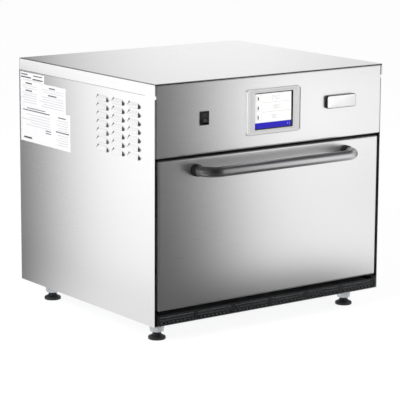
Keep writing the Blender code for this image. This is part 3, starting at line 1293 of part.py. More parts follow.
def make_hinge(hand, side):
    """One hinge: the fixed arm, the clevis in the door, the pin through both and the door spring."""
    x = side * HINGE_X
    root_y = FRONT + FRAME_DEPTH - SEAT
    shape = bmesh.new()
    points = []
    for across in around(x, HINGE_ARM / 2):
        for step in range(SMALL_SIDES):
            angle = step * 2 * math.pi / SMALL_SIDES
            points.append((across, HINGE_Y + HINGE_EYE_RADIUS * math.cos(angle),
                           HINGE_Z + HINGE_EYE_RADIUS * math.sin(angle)))
        points.append((across, root_y, HINGE_Z - HINGE_ARM_ROOT))
        points.append((across, root_y, HINGE_Z + HINGE_ARM_ROOT))
    add_hull(shape, points)
    arm = place("hinge_arm_" + hand, shape, "bright_steel")
    reach = CLEVIS_INNER / 2 + CLEVIS_CHEEK
    hole = ((x - reach - OVERRUN, HINGE_Y, HINGE_Z), (x + reach + OVERRUN, HINGE_Y, HINGE_Z))
    cut(arm, rods("hinge_arm_eye_" + hand, [hole], HINGE_HOLE_RADIUS, sides=SMALL_SIDES))
    lap = SHEET + SEAT
    foot = DOOR_FOOT + 2 * lap
    y = (FRONT + CLEVIS_FRONT_DEPTH, DOOR_PANEL_BACK - lap)
    clevis = box("hinge_clevis_" + hand, around(x, reach), y, (foot, foot + CLEVIS_HEIGHT), "bright_steel")
    fork_head = foot + CLEVIS_WEB_RISE
    spring_foot = fork_head + CLEVIS_CHEEK
    spring_head = foot + CLEVIS_HEIGHT - CLEVIS_CHEEK
    inner = around(x, CLEVIS_INNER / 2)
    fork = (inner, (y[0] - OVERRUN, y[1] + OVERRUN), (foot - OVERRUN, fork_head))
    channel = (inner, (y[0] - OVERRUN, y[1] - CLEVIS_CHEEK), (spring_foot, spring_head))
    cut(clevis, boxes("hinge_clevis_spaces_" + hand, [fork, channel]))
    cut(clevis, rods("hinge_clevis_eyes_" + hand, [hole], HINGE_HOLE_RADIUS, sides=SMALL_SIDES))
    pin = rods("hinge_pin_" + hand, [((x - reach, HINGE_Y, HINGE_Z), (x + reach, HINGE_Y, HINGE_Z))],
               HINGE_PIN_RADIUS, "bright_steel", sides=SMALL_SIDES)
    low = spring_foot + SEAT + SPRING_WIRE_RADIUS
    high = spring_head - SEAT - SPRING_WIRE_RADIUS
    middle_y = (y[0] + y[1] - CLEVIS_CHEEK) / 2
    count = SPRING_CURLS * SPRING_STEPS
    coil = []
    for step in range(count + 1):
        angle = step * 2 * math.pi / SPRING_STEPS
        coil.append((x + SPRING_COIL_RADIUS * math.cos(angle),
                     middle_y + SPRING_COIL_RADIUS * math.sin(angle),
                     low + (high - low) * step / count))
    spring = tube("door_spring_" + hand, coil, SPRING_WIRE_RADIUS, "bright_steel", resolution=1)
    return [clevis, pin, spring]


def make_door():
    """The whole door, hung on an empty that stands on the hinge axis."""
    pieces = make_door_panels() + make_door_choke() + make_handle()
    for hand, side in (("left", -1), ("right", 1)):
        pieces += make_hinge(hand, side)
    pivot_at("door_hinge_axis", (0, HINGE_Y, HINGE_Z), pieces)


def build_oven():
    """Make every piece of the oven, from the casing inwards and then the door."""
    make_top_cover()
    make_side_panel("left_side_panel", -1)
    make_side_panel("right_side_panel", 1)
    make_rear_panel()
    make_rear_cowl()
    make_base_pan()
    make_feet()
    make_filter_tray()
    make_front_frame()
    make_cavity()
    make_rear_wall_grille()
    make_impinger("upper_impinger_plate", CAVITY_CEILING - IMPINGER_DROP)
    make_impinger("lower_impinger_plate", CAVITY_FLOOR + FLOOR_PLATE_RISE)
    make_wire_rack()
    make_catalyst()
    make_plenum()
    make_heater()
    make_impeller()
    make_convection_motor()
    make_hot_air_duct()
    make_insulation()
    make_component_shelf()
    make_relay_board()
    make_capacitor()
    for hand, side in (("left", -1), ("right", 1)):
        make_microwave_feed(hand, side)
        make_transformer(hand, side)
    make_cooling_fan()
    make_cord_gland()
    make_fascia()
    make_screen()
    make_switch()
    make_badge_block()
    make_door()


build_oven()
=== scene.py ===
import math

import bmesh
import bpy
import numpy as np
from mathutils import Matrix, Vector


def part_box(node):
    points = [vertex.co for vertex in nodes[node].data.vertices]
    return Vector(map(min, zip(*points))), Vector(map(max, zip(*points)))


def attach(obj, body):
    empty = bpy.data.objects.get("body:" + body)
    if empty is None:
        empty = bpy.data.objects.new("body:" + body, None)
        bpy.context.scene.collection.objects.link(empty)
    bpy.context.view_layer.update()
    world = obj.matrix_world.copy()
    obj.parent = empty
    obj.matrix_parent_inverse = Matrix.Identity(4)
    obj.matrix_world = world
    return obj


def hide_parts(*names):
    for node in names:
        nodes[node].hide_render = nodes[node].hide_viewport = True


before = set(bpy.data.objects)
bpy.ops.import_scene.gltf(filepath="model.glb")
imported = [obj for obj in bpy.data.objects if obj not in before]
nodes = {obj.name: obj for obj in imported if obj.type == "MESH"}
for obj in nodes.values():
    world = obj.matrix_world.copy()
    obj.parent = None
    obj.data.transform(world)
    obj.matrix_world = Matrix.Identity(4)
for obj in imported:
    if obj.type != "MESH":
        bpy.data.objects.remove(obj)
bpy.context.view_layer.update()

# The view: a long lens from the front left, a little above the oven's top, fitted to the photograph's edges.
# Its place is in metres to the right of, behind and above the middle of the cap's front edge.
CAP_LOW, CAP_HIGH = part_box("top_cover")
FRONT = CAP_LOW.y
TOP = CAP_HIGH.z
VIEW_FROM = (-2.9101, -3.6784, 0.6219)
VIEW_YAW = math.radians(36.16)
VIEW_PITCH = math.radians(11.34)
VIEW_ROLL = math.radians(0.297)
VIEW_REACH = 60
FOCAL_PIXELS = 1919.7
FRAME_PIXELS = 400
SENSOR_MM = 36


def aim_camera():
    """A camera whose forward axis is turned from +Y by the yaw and tipped down by the pitch."""
    forward = Vector((math.sin(VIEW_YAW) * math.cos(VIEW_PITCH), math.cos(VIEW_YAW) * math.cos(VIEW_PITCH),
                      -math.sin(VIEW_PITCH)))
    level = Vector((math.cos(VIEW_YAW), -math.sin(VIEW_YAW), 0))
    upright = level.cross(forward)
    right = level * math.cos(VIEW_ROLL) + upright * math.sin(VIEW_ROLL)
    up = upright * math.cos(VIEW_ROLL) - level * math.sin(VIEW_ROLL)
    camera = bpy.data.objects.new("camera", bpy.data.cameras.new("camera"))
    bpy.context.scene.collection.objects.link(camera)
    turn = Matrix((right, up, -forward)).transposed().to_4x4()
    spot = Vector((VIEW_FROM[0], FRONT + VIEW_FROM[1], TOP + VIEW_FROM[2]))
    camera.matrix_world = Matrix.Translation(spot) @ turn
    camera.data.sensor_width = SENSOR_MM
    camera.data.lens = FOCAL_PIXELS * SENSOR_MM / FRAME_PIXELS
    camera.data.clip_end = VIEW_REACH
    bpy.context.scene.camera = camera


aim_camera()


# Studio light: a plain white room with a floor that keeps the oven's shadow, two soft lamps, and cards that
# only gloss sees. The graded cards give the steel the falling tones of the photograph, and the dark ones
# draw its folds and the handle's edges. Their places follow from the view mirrored in the oven's faces.
ROOM_LIGHT = 0.62
FLOOR_REACH = 30
FLOOR_GLOW = 0.80
FLOOR_SHINE = 1.08
FLOOR_COLOUR = (0.88, 0.88, 0.88, 1)
LAMP_TARGET = (0, 0, 0.35)
LAMP_SIZE = 1.8
LEFT_LAMP = ((-3.5, -1.2, 2.2), 125)
RIGHT_LAMP = ((2.0, -3.0, 2.0), 40)
CARD_GLOW = 1.4

# Tones of the cards, as stops of a place and its tone. A fall in height multiplies the tones along a card.
ALONG_FRONT = (1, 0, 0)
ALONG_FRONT_LEANING = (1, 0, 0.14)
ALONG_SIDE = (0, 1, 0)
DARK_TONES = ((0, 0.05), (1, 0.05))
CORNER_TONES = ((0, 0.14), (1, 0.14))
FRONT_TONES = ((-0.26, 0.02), (0.03, 0.05), (0.088, 0.13), (0.121, 0.22), (0.171, 0.36), (0.222, 0.58),
               (0.273, 0.82), (0.360, 1.11), (0.502, 1.21), (0.573, 1.21), (0.84, 1.07))
FRONT_FALL = ((0, 1.10), (0.05, 0.95), (0.15, 0.86), (0.25, 0.90), (0.33, 0.94), (0.38, 0.98), (0.50, 1.0),
              (0.58, 0.96), (0.67, 0.68), (0.77, 0.20), (0.95, 0.05))
FOOT_TONES = ((-0.90, 0.04), (0.42, 0.05), (0.64, 0.80), (1.50, 1.00))
BACK_TONES = ((0.0, 0.21), (0.20, 0.38), (0.314, 0.70), (0.466, 0.91), (0.621, 1.04), (0.783, 1.09),
              (1.12, 1.12), (1.30, 1.07), (1.70, 0.94))
LEFT_TONES = ((-0.35, 0.10), (-0.15, 0.80), (0.05, 1.34), (0.263, 1.34), (0.410, 1.32), (0.512, 1.27),
              (0.617, 1.09), (0.725, 0.77), (0.836, 0.38), (0.928, 0.12), (1.10, 0.05))
LEFT_FALL = ((0, 0.85), (0.30, 0.97), (0.60, 1.04))
BAND_TONES = ((0, 1.3), (1.3, 1.2))
GAP_TONES = ((-0.4, 0.05), (0.1, 0.35), (0.8, 0.05))
GAP_FALL = ((0, 0.3), (0.5, 1.0), (1.1, 1.0), (1.8, 0.15))
RIGHT_TONES = ((-0.75, 0.80), (-0.30, 0.35), (0.30, 0.05))

# The left floor card carries on the left card, moved and dimmed, along the mirrored view's run on the floor.
LEFT_FLOOR_RUN = (1.36, 1, 0)
LEFT_FLOOR_SHIFT = -0.98
LEFT_FLOOR_SHARE = 0.68
LEFT_FLOOR_TONES = [(at + LEFT_FLOOR_SHIFT, tone * LEFT_FLOOR_SHARE) for at, tone in LEFT_TONES[3:]]

# A card runs between two points of the floor plan, from its foot up to its head. Where both are level it
# lies flat, with the points as its corners.
CARDS = {
    "front_card": ((-0.70, -0.75), (1.10, -0.75), 0, 0.95, FRONT_TONES, ALONG_FRONT_LEANING, FRONT_FALL),
    "left_card": ((-0.72, -0.35), (-0.72, 1.30), 0, 0.60, LEFT_TONES, ALONG_SIDE, LEFT_FALL),
    "band_card": ((-0.72, -0.10), (-0.72, 1.30), 0.60, 1.15, BAND_TONES, ALONG_SIDE),
    "left_floor_card": ((-0.72, -0.35), (-0.365, 1.35), 0.002, 0.002, LEFT_FLOOR_TONES, LEFT_FLOOR_RUN),
    "back_card": ((-0.10, 1.20), (1.90, 1.20), 0.62, 1.70, BACK_TONES),
    "ceiling_card": ((-3.00, -2.40), (3.00, 4.50), 2.40, 2.40),
    "foot_card": ((-0.90, -0.74), (1.50, -0.29), 0.002, 0.002, FOOT_TONES),
    "corner_card": ((-2.70, -0.40), (-0.60, -3.40), 0, 2.60, CORNER_TONES),
    "corner_floor_card": ((-2.70, -2.60), (-0.90, 0.60), 0.002, 0.002),
    "gap_card": ((-2.70, -0.40), (-2.20, 0.80), 0, 2.60, GAP_TONES, ALONG_SIDE, GAP_FALL),
    "rear_card": ((-0.72, 1.30), (-0.10, 1.20), 0, 1.50),
    "right_card": ((1.20, -0.75), (1.20, 0.30), 0, 0.75, RIGHT_TONES, ALONG_SIDE)}


class Wire:
    """One output of a node; arithmetic on it adds Math nodes."""

    def __init__(self, recipe, socket):
        self.recipe = recipe
        self.socket = socket

    def calc(self, operation, *values):
        """The Math node of an operation on the values."""
        return self.recipe.node("ShaderNodeMath", {"operation": operation}, dict(enumerate(values)))

    def __add__(self, other):
        return self.calc('ADD', self, other)

    def __radd__(self, other):
        return self.calc('ADD', other, self)

    def __sub__(self, other):
        return self.calc('SUBTRACT', self, other)

    def __rsub__(self, other):
        return self.calc('SUBTRACT', other, self)

    def __mul__(self, other):
        return self.calc('MULTIPLY', self, other)

    def __rmul__(self, other):
        return self.calc('MULTIPLY', other, self)

    def __truediv__(self, other):
        return self.calc('DIVIDE', self, other)

    def top(self, other):
        """The larger of the two."""
        return self.calc('MAXIMUM', self, other)

    def cap(self, other):
        """The smaller of the two."""
        return self.calc('MINIMUM', self, other)

    def clip(self):
        """This value, held between zero and one."""
        return self.top(0.0).cap(1.0)

    def over(self, level):
        """One where this value is over the level, else zero."""
        return self.calc('GREATER_THAN', self, level)

    def under(self, level):
        """One where this value is under the level, else zero."""
        return self.calc('LESS_THAN', self, level)

    def size(self):
        """This value without its sign."""
        return self.calc('ABSOLUTE', self)

    def remainder(self):
        """This value less the whole number below it."""
        return self.calc('FRACT', self)


class Recipe:
    """A node tree being wired; for a material it starts from one Principled shader."""

    def __init__(self, name, settings=None, tree=None):
        if tree is None:
            self.material = bpy.data.materials.new(name)
            self.material.use_nodes = True
            tree = self.material.node_tree
        self.tree = tree
        self.shader = tree.nodes.get("Principled BSDF")
        for key, value in (settings or {}).items():
            self.shader.inputs[key].default_value = value

    def node(self, kind, settings, inputs, output=0):
        """A node of a kind: its settings first, then its inputs, each a wire or a plain value."""
        made = self.tree.nodes.new(kind)
        for key, value in settings.items():
            setattr(made, key, value)
        for key, value in inputs.items():
            if isinstance(value, Wire):
                self.tree.links.new(value.socket, made.inputs[key])
            else:
                made.inputs[key].default_value = value
        return Wire(self, made.outputs[output])

    def ramp(self, share, stops):
        """Greys that run straight from stop to stop along a share from zero to one."""
        made = self.node("ShaderNodeValToRGB", {}, {0: share})
        elements = made.socket.node.color_ramp.elements
        elements.remove(elements[1])
        elements[0].position = stops[0][0]
        elements[0].color = (*[stops[0][1]] * 3, 1)
        for position, tone in stops[1:]:
            elements.new(position).color = (tone, tone, tone, 1)
        return made

    def feed(self, key, wire):
        """Link a wire to an input of the shader."""
        self.tree.links.new(wire.socket, self.shader.inputs[key])

    def place(self):
        """The place on the oven, in metres."""
        return self.node("ShaderNodeTexCoord", {}, {}, "Object")

    def axis(self, number):
        """The place along one axis."""
        return self.node("ShaderNodeSeparateXYZ", {}, {0: self.place()}, number)

    def along(self, direction):
        """The place along a direction: their dot product."""
        return self.node("ShaderNodeVectorMath", {"operation": 'DOT_PRODUCT'},
                         {0: self.place(), 1: direction}, "Value")

    def noise(self, stretch, detail=2.0, roughness=0.5):
        """Noise from zero to one, with so many lumps a metre along each axis."""
        at = self.node("ShaderNodeVectorMath", {"operation": 'MULTIPLY'}, {0: self.place(), 1: stretch})
        return self.node("ShaderNodeTexNoise", {}, {"Vector": at, "Scale": 1.0, "Detail": detail,
                                                    "Roughness": roughness})

    def shade(self, colour, amount):
        """A colour times an amount."""
        return self.node("ShaderNodeVectorMath", {"operation": 'SCALE'}, {0: colour, "Scale": amount})

    def bump(self, height, distance):
        """A surface raised by a height times a distance in metres."""
        self.feed("Normal", self.node("ShaderNodeBump", {}, {"Height": height, "Distance": distance}))


def seen_directly(recipe):
    """One for rays that show the background, from the camera, off gloss or through glass, else zero."""
    ray = [recipe.node("ShaderNodeLightPath", {}, {}, name)
           for name in ("Is Camera Ray", "Is Glossy Ray", "Is Transmission Ray")]
    return ray[0].top(ray[1]).top(ray[2])


def light_room():
    """The world is white where it is seen, and a little dimmer where it lights."""
    world = bpy.data.worlds.new("studio")
    world.use_nodes = True
    bpy.context.scene.world = world
    recipe = Recipe("studio", tree=world.node_tree)
    strength = seen_directly(recipe) * (1 - ROOM_LIGHT) + ROOM_LIGHT
    background = world.node_tree.nodes["Background"]
    background.inputs["Color"].default_value = (1, 1, 1, 1)
    world.node_tree.links.new(strength.socket, background.inputs["Strength"])


def quad_piece(name, corners):
    """A single flat face through four corners."""
    mesh = bpy.data.meshes.new(name)
    mesh.from_pydata([tuple(corner) for corner in corners], [], [(0, 1, 2, 3)])
    made = bpy.data.objects.new(name, mesh)
    bpy.context.scene.collection.objects.link(made)
    return made


def lay_floor():
    """A floor that glows white where it is seen and is plain matt where it is lit."""
    reach = FLOOR_REACH
    corners = [(-reach, -reach, 0), (reach, -reach, 0), (reach, reach, 0), (-reach, reach, 0)]
    floor = quad_piece("floor", corners)
    recipe = Recipe("floor_white", {"Base Color": FLOOR_COLOUR, "Roughness": 1.0,
                                    "Specular IOR Level": 0.0})
    glow = recipe.node("ShaderNodeEmission", {}, {"Strength": FLOOR_SHINE})
    share = seen_directly(recipe) * FLOOR_GLOW
    both = recipe.node("ShaderNodeMixShader", {}, {0: share, 2: glow})
    recipe.tree.links.new(recipe.shader.outputs[0], both.socket.node.inputs[1])
    recipe.tree.links.new(both.socket, recipe.tree.nodes["Material Output"].inputs["Surface"])
    floor.data.materials.append(recipe.material)


def stops_share(recipe, where, stops):
    """The tone at a place: straight between stops, each a place and its tone over the cards' glow."""
    start, reach = stops[0][0], stops[-1][0] - stops[0][0]
    shares = [((at - start) / reach, tone / CARD_GLOW) for at, tone in stops]
    return recipe.ramp((where - start) / reach, shares)


def hang_card(name, corners, tones=DARK_TONES, direction=ALONG_FRONT, fall=None):
    """A card that only gloss sees. Its tone follows the stops along a direction, times its fall in height."""
    card = quad_piece(name, corners)
    recipe = Recipe(name, {"Base Color": (0, 0, 0, 1), "Specular IOR Level": 0.0, "Roughness": 1.0,
                           "Emission Strength": CARD_GLOW})
    glow = stops_share(recipe, recipe.along(direction), tones)
    if fall:
        share = recipe.node("ShaderNodeSeparateColor", {}, {0: stops_share(recipe, recipe.axis(2), fall)}, 0)
        glow = recipe.shade(glow, share * CARD_GLOW)
    recipe.feed("Emission Color", glow)
    card.data.materials.append(recipe.material)
    card.visible_camera = False
    card.visible_diffuse = False
    card.visible_shadow = False
    card.visible_transmission = False


def hang_cards():
    """An upright card's corners go along its foot and back along its head, a flat one's round its plan."""
    for name, (start, end, foot, head, *look) in CARDS.items():
        plan = [start, end, end, start]
        if foot == head:
            plan = [start, (end[0], start[1]), end, (start[0], end[1])]
        hang_card(name, [(*spot, level) for spot, level in zip(plan, (foot, foot, head, head))], *look)


def hang_lamp(name, spot, power):
    """A square soft lamp at a spot, facing the oven's middle; gloss sees only the cards."""
    lamp = bpy.data.objects.new(name, bpy.data.lights.new(name, 'AREA'))
    lamp.data.shape = 'SQUARE'
    lamp.data.size = LAMP_SIZE
    lamp.data.energy = power
    lamp.visible_glossy = False
    lamp.location = spot
    lamp.rotation_mode = 'QUATERNION'
    lamp.rotation_quaternion = (Vector(LAMP_TARGET) - Vector(spot)).to_track_quat('-Z', 'Y')
    bpy.context.scene.collection.objects.link(lamp)


light_room()
lay_floor()
hang_lamp("left_lamp", *LEFT_LAMP)
hang_lamp("right_lamp", *RIGHT_LAMP)
hang_cards()


# Casing: top cover, sides, fascia and door skin are brushed stainless sheet, folded at the edges. The grain
# runs along the front, and from front to back on the sides, whose pressed louvres get painted shade in
# their tight folds. LOUVRE_START is the front top cell's depth behind the front and its foot's drop.
STEEL = (0.82, 0.82, 0.82)
STEEL_ROUGHNESS = 0.28
STEEL_TINT = (0.97, 0.05, 0.01)
STEEL_MATT = (-0.03, 0.05, 0.02)
GRAIN_ALONG = 12
GRAIN_ACROSS = 1300
GRAIN_DEPTH = 0.00002
CLOUD = (2.3, 2.3, 2.3)
CAP_LEAN = 0.14
FRONT_METAL = 0.94
LOUVRE_START = (0.0603, 0.0653)
LOUVRE_PITCH = (0.0685, 0.0207)
LOUVRE_COUNT = (3, 7)
LOUVRE_FOOT = 0.0567
LOUVRE_END = (0.01035, 0.0127)
LOUVRE_HEAD = (0.0104, 0.0463)
FOLD_HALF = 0.0028
FOLD_SHIFT = 0.0012
FOLD_EDGE = 0.0008
FOLD_DARK = (0.50, 0.40)
HEAD_HALF = 0.0010
HEAD_DARK = 0.28


def fold_shade(recipe):
    """Painted shade in the tight folds of the pressed louvres, as the share of colour left, from the place in
    each louvre's cell: a line up its rear end darkens towards the head, and a faint one runs along the head."""
    cell = [(recipe.axis(1) - (FRONT + LOUVRE_START[0])) / LOUVRE_PITCH[0],
            (recipe.axis(2) - (TOP - LOUVRE_START[1])) / LOUVRE_PITCH[1] + (LOUVRE_COUNT[1] - 1)]
    within = [share.over(0.0) * share.under(count) for share, count in zip(cell, LOUVRE_COUNT)]
    depth, rise = [share.remainder() * pitch for share, pitch in zip(cell, LOUVRE_PITCH)]
    length = math.hypot(*LOUVRE_END)
    run, climb = LOUVRE_END[0] / length, LOUVRE_END[1] / length
    along = rise * climb - (depth - LOUVRE_FOOT) * run
    across = rise * run + (depth - LOUVRE_FOOT) * climb - FOLD_SHIFT
    line = ((FOLD_HALF - across.size()) / FOLD_EDGE).clip()
    line = line * (along / FOLD_EDGE).clip() * ((length + FOLD_EDGE - along) / FOLD_EDGE).clip()
    line = line * (along * (FOLD_DARK[1] / length) + FOLD_DARK[0])
    above = rise - LOUVRE_END[1]
    head = ((HEAD_HALF - above.size()) / HEAD_HALF).top(0.0) * HEAD_DARK
    head = head * depth.over(LOUVRE_HEAD[0]) * depth.under(LOUVRE_HEAD[1])
    return 1 - line.top(head) * within[0] * within[1]


def brushed_steel(name, colour, roughness, along, lean=0.0, metal=1.0, pressed=False):
    """Fine noise drawn out along the grain tints, roughens and ridges the metal; a wide noise clouds it. A
    lean turns upright faces up by a little, as a fold that isn't pressed quite square does. Metal is the
    share of the light that mirrors; the grain scatters the rest, so near pieces mirror faintly."""
    recipe = Recipe(name, {"Metallic": metal})
    stretch = [GRAIN_ACROSS] * 3
    stretch[along] = GRAIN_ALONG
    grain = recipe.noise(tuple(stretch), detail=3.0, roughness=0.6)
    cloud = recipe.noise(CLOUD, detail=1.0)
    tint = STEEL_TINT[0] + STEEL_TINT[1] * grain + STEEL_TINT[2] * cloud
    # With pressed set, painted shade for the louvres' folds is multiplied into the base colour.
    recipe.feed("Base Color", recipe.shade(colour, tint * fold_shade(recipe) if pressed else tint))
    recipe.feed("Roughness", roughness + STEEL_MATT[0] + STEEL_MATT[1] * grain + STEEL_MATT[2] * cloud)
    recipe.bump(grain * GRAIN_DEPTH - recipe.axis(2) * lean, 1.0)
    return recipe.material


def dress(material, *names):
    """Give CAD nodes a material in all their slots."""
    for name in names:
        slots = nodes[name].data.materials
        if not slots:
            slots.append(material)
        for index in range(len(slots)):
            slots[index] = material


front_steel = brushed_steel("front_steel", STEEL, STEEL_ROUGHNESS, 0, metal=FRONT_METAL)
side_steel = brushed_steel("side_steel", STEEL, STEEL_ROUGHNESS, 1, pressed=True)
cap_steel = brushed_steel("cap_steel", STEEL, STEEL_ROUGHNESS, 1, lean=CAP_LEAN)
dress(front_steel, "control_fascia", "door_outer_skin")
dress(side_steel, "left_side_panel", "right_side_panel")
dress(cap_steel, "top_cover")


# Paper sheets on the left side: three blank pale sheets are stuck to it behind the louvres, with faint ruled
# lines, bars and a small dark patch. Places are two depths behind the front and two drops below the top.
PIT_PITCH = 900
PIT_DEPTH = 0.00001
MOTTLE_PITCH = (12, 12, 12)
MOTTLE_MATT = 0.12
WELD = 1e-7
CREASE = math.radians(35)
FACING_LEFT = np.array([[0, 1, 0], [0, 0, 1], [-1, 0, 0]])
BOX_FACES = np.array([[3, 2, 1, 0], [4, 5, 6, 7], [0, 1, 5, 4], [1, 2, 6, 5], [2, 3, 7, 6], [3, 0, 4, 7]])
LOUVRE_BULGE = 0.005
PAPER = (0.69, 0.69, 0.70)
RULE_GREY = (0.50, 0.50, 0.51)
BAR_GREY = (0.10, 0.10, 0.11)
PATCH_DARK = (0.05, 0.05, 0.06)
SHEET_LEVELS = (0.00002, 0.00014)
RULE_LEVELS = (0.00014, 0.00017)
SHEETS = [(0.498, 0.6155, 0.0350, 0.0565), (0.395, 0.6155, 0.0568, 0.1222), (0.374, 0.6155, 0.1225, 0.2160)]
PATCH = (0.560, 0.600, 0.2030, 0.2075)

# A block of ruled lines has its place, the pitch of its lines, and the length by which they end unevenly.
RULE_THICKNESS = 0.0020
RULE_SWING = 2.4
RULE_BLOCKS = [(0.515, 0.612, 0.0530, 0.0560, 0.0062, 0.020), (0.535, 0.612, 0.0685, 0.0780, 0.0062, 0.012),
               (0.535, 0.612, 0.0870, 0.1180, 0.0062, 0.012), (0.405, 0.520, 0.0695, 0.0800, 0.0062, 0.018),
               (0.405, 0.520, 0.0885, 0.1180, 0.0062, 0.018), (0.470, 0.610, 0.1425, 0.1720, 0.0070, 0.050),
               (0.384, 0.440, 0.1410, 0.1680, 0.0062, 0.010), (0.384, 0.440, 0.1790, 0.2080, 0.0062, 0.010)]

# A bar has its depth from and to, its drop and its thickness.
SHEET_BARS = [(0.579, 0.611, 0.0390, 0.0034), (0.562, 0.613, 0.0460, 0.0036), (0.508, 0.551, 0.0395, 0.0030),
              (0.505, 0.555, 0.0484, 0.0034), (0.558, 0.590, 0.0612, 0.0034), (0.558, 0.590, 0.0803, 0.0034),
              (0.445, 0.475, 0.0630, 0.0034), (0.438, 0.480, 0.0818, 0.0034), (0.494, 0.583, 0.1262, 0.0021),
              (0.473, 0.604, 0.1316, 0.0028), (0.395, 0.431, 0.1331, 0.0030), (0.381, 0.443, 0.1706, 0.0030),
              (0.466, 0.493, 0.1757, 0.0024), (0.466, 0.493, 0.1817, 0.0024)]


def moulded(name, colour, roughness, mottle, pitch=PIT_PITCH, depth=PIT_DEPTH, metallic=0.0, glow=0.0,
            shine=0.5):
    """A moulded or painted face: fine noise pits it, a wide one shifts its tone and gloss."""
    recipe = Recipe(name, {"Metallic": metallic, "Emission Color": (*colour, 1), "Emission Strength": glow,
                           "Specular IOR Level": shine})
    pits = recipe.noise((pitch, pitch, pitch), detail=2.0)
    cloud = recipe.noise(MOTTLE_PITCH, detail=1.0)
    recipe.feed("Base Color", recipe.shade(colour, 1 - mottle / 2 + mottle * cloud))
    recipe.feed("Roughness", roughness - MOTTLE_MATT / 2 + MOTTLE_MATT * cloud)
    recipe.bump(pits, depth)
    return recipe.material


def slabs(limits, levels, origin, ways):
    """Thin boxes on a face: the corners of each row of limits, at two levels, in the face's three ways."""
    limits = np.atleast_2d(np.array(limits, float))
    count = len(limits)
    corners = np.zeros((count, 2, 4, 3))
    corners[..., 0] = limits[:, None, [0, 1, 1, 0]]
    corners[..., 1] = limits[:, None, [2, 2, 3, 3]]
    corners[..., 2] = np.array(levels)[None, :, None]
    faces = BOX_FACES[None] + 8 * np.arange(count)[:, None, None]
    return np.array(origin) + corners.reshape(-1, 3) @ ways, faces.reshape(-1, 4)


def add_piece(name, form, material, body, replaces=()):
    """An object from points and quads, smooth but for its creases, that rides on a CAD body."""
    mesh = bpy.data.meshes.new(name)
    mesh.from_pydata(form[0].tolist(), [], form[1].tolist())
    shape = bmesh.new()
    shape.from_mesh(mesh)
    bmesh.ops.remove_doubles(shape, verts=shape.verts, dist=WELD)
    bmesh.ops.recalc_face_normals(shape, faces=shape.faces)
    shape.to_mesh(mesh)
    shape.free()
    mesh.polygons.foreach_set("use_smooth", np.ones(len(mesh.polygons), bool))
    mesh.set_sharp_from_angle(angle=CREASE)
    mesh.materials.append(material)
    made = bpy.data.objects.new(name, mesh)
    bpy.context.scene.collection.objects.link(made)
    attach(made, body)
    if replaces:
        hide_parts(*replaces)


def patches(places):
    """Limits of patches, whose drops below the top become heights."""
    near, far, head, foot = np.array(places).T
    return np.stack([near, far, TOP - foot, TOP - head], 1)


def ruled_block(near, far, head, foot, pitch, ragged):
    """Limits of ruled lines in a block: line k lies k pitches below the head and ends short of the far side
    by a share of the ragged length that swings with the sine of k."""
    drop = np.arange(head, foot, pitch)
    short = ragged * (0.5 + 0.5 * np.sin(RULE_SWING * np.arange(len(drop))))
    return np.stack([np.full(len(drop), near), far - short, TOP - drop - RULE_THICKNESS, TOP - drop], 1)


def stick_sheets():
    """The sheets lie on the side panel's plane, and lines, bars and patch lie on the sheets."""
    side = (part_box("left_side_panel")[0].x + LOUVRE_BULGE, FRONT, 0)
    rules = np.concatenate([ruled_block(*block) for block in RULE_BLOCKS])
    near, far, drop, thickness = np.array(SHEET_BARS).T
    bars = np.stack([near, far, TOP - drop - thickness, TOP - drop], 1)
    rows = (
        ("side_label_sheets", patches(SHEETS), SHEET_LEVELS,
         moulded("paper", PAPER, roughness=0.55, mottle=0.03)),
        ("side_label_rules", rules, RULE_LEVELS,
         moulded("rule_grey", RULE_GREY, roughness=0.6, mottle=0.05)),
        ("side_label_bars", bars, RULE_LEVELS,
         moulded("bar_grey", BAR_GREY, roughness=0.6, mottle=0.05)),
        ("side_label_block", patches([PATCH]), RULE_LEVELS,
         moulded("block_dark", PATCH_DARK, roughness=0.6, mottle=0.05)))
    for name, limits, levels, material in rows:
        add_piece(name, slabs(limits, levels, side, FACING_LEFT), material, "oven_body")


stick_sheets()


# Front corners of the cap: the sheet of its band is turned round each front end as a narrow upright flange,
# spot welded over the fascia, and a small near-white lip below the band is a painted highlight.
FACING_FRONT = np.array([[1, 0, 0], [0, 0, 1], [0, -1, 0]])
LIP_HIGHLIGHT = (0.9, 0.9, 0.9)
FLANGE_WIDTH = 0.0041
FLANGE_TOP = 0.0040
FLANGE_CLEAR = 0.0001
FLANGE_LEVELS = (0.0002, 0.0014)
LIP = (0.0042, 0.0080)
LIP_DROP = 0.0058
LIP_LEVELS = (-0.0036, 0.0004)


def gather(*forms):
    """Several forms as one: each form's face numbers are moved on by the points before it."""
    starts = np.cumsum([0] + [len(points) for points, _ in forms])
    return (np.concatenate([points for points, _ in forms]),
            np.concatenate([faces + start for (_, faces), start in zip(forms, starts)]))


def fold_cap_corners():
    """A flange and a painted highlight lip at each end, the right ones mirrored from the left."""
    half = CAP_HIGH.x
    foot = CAP_LOW.z - LIP_DROP
    head = TOP - FLANGE_TOP - foot
    flanges = [(left, right, LIP[1] + FLANGE_CLEAR, head)
               for left, right in ((-half, FLANGE_WIDTH - half), (half - FLANGE_WIDTH, half))]
    add_piece("cap_corner_flanges", slabs(flanges, FLANGE_LEVELS, (0, FRONT, foot), FACING_FRONT),
              front_steel, "oven_body")
    lip = (-FLANGE_LEVELS[1], LIP[0], 0, LIP[1])
    lips = [slabs(lip, levels, (-half, FRONT, foot), FACING_LEFT)
            for levels in (LIP_LEVELS, (-2 * half - LIP_LEVELS[1], -2 * half - LIP_LEVELS[0]))]
    add_piece("cap_corner_highlight_lips", gather(*lips), moulded("lip_highlight", LIP_HIGHLIGHT, roughness=0.4, mottle=0.04),
              "oven_body")


fold_cap_corners()


# Joint between cap and fascia: a black bead laid in the groove above the fascia's fold is painted shade, the
# dark line of the joint.
RUBBER_AND_SHADE_BLACK = (0.012, 0.012, 0.012)
BEAD_RADIUS = 0.0012
BEAD_DROP = 0.0025
BEAD_DEPTH = 0.0006
BEAD_SIDES = 12


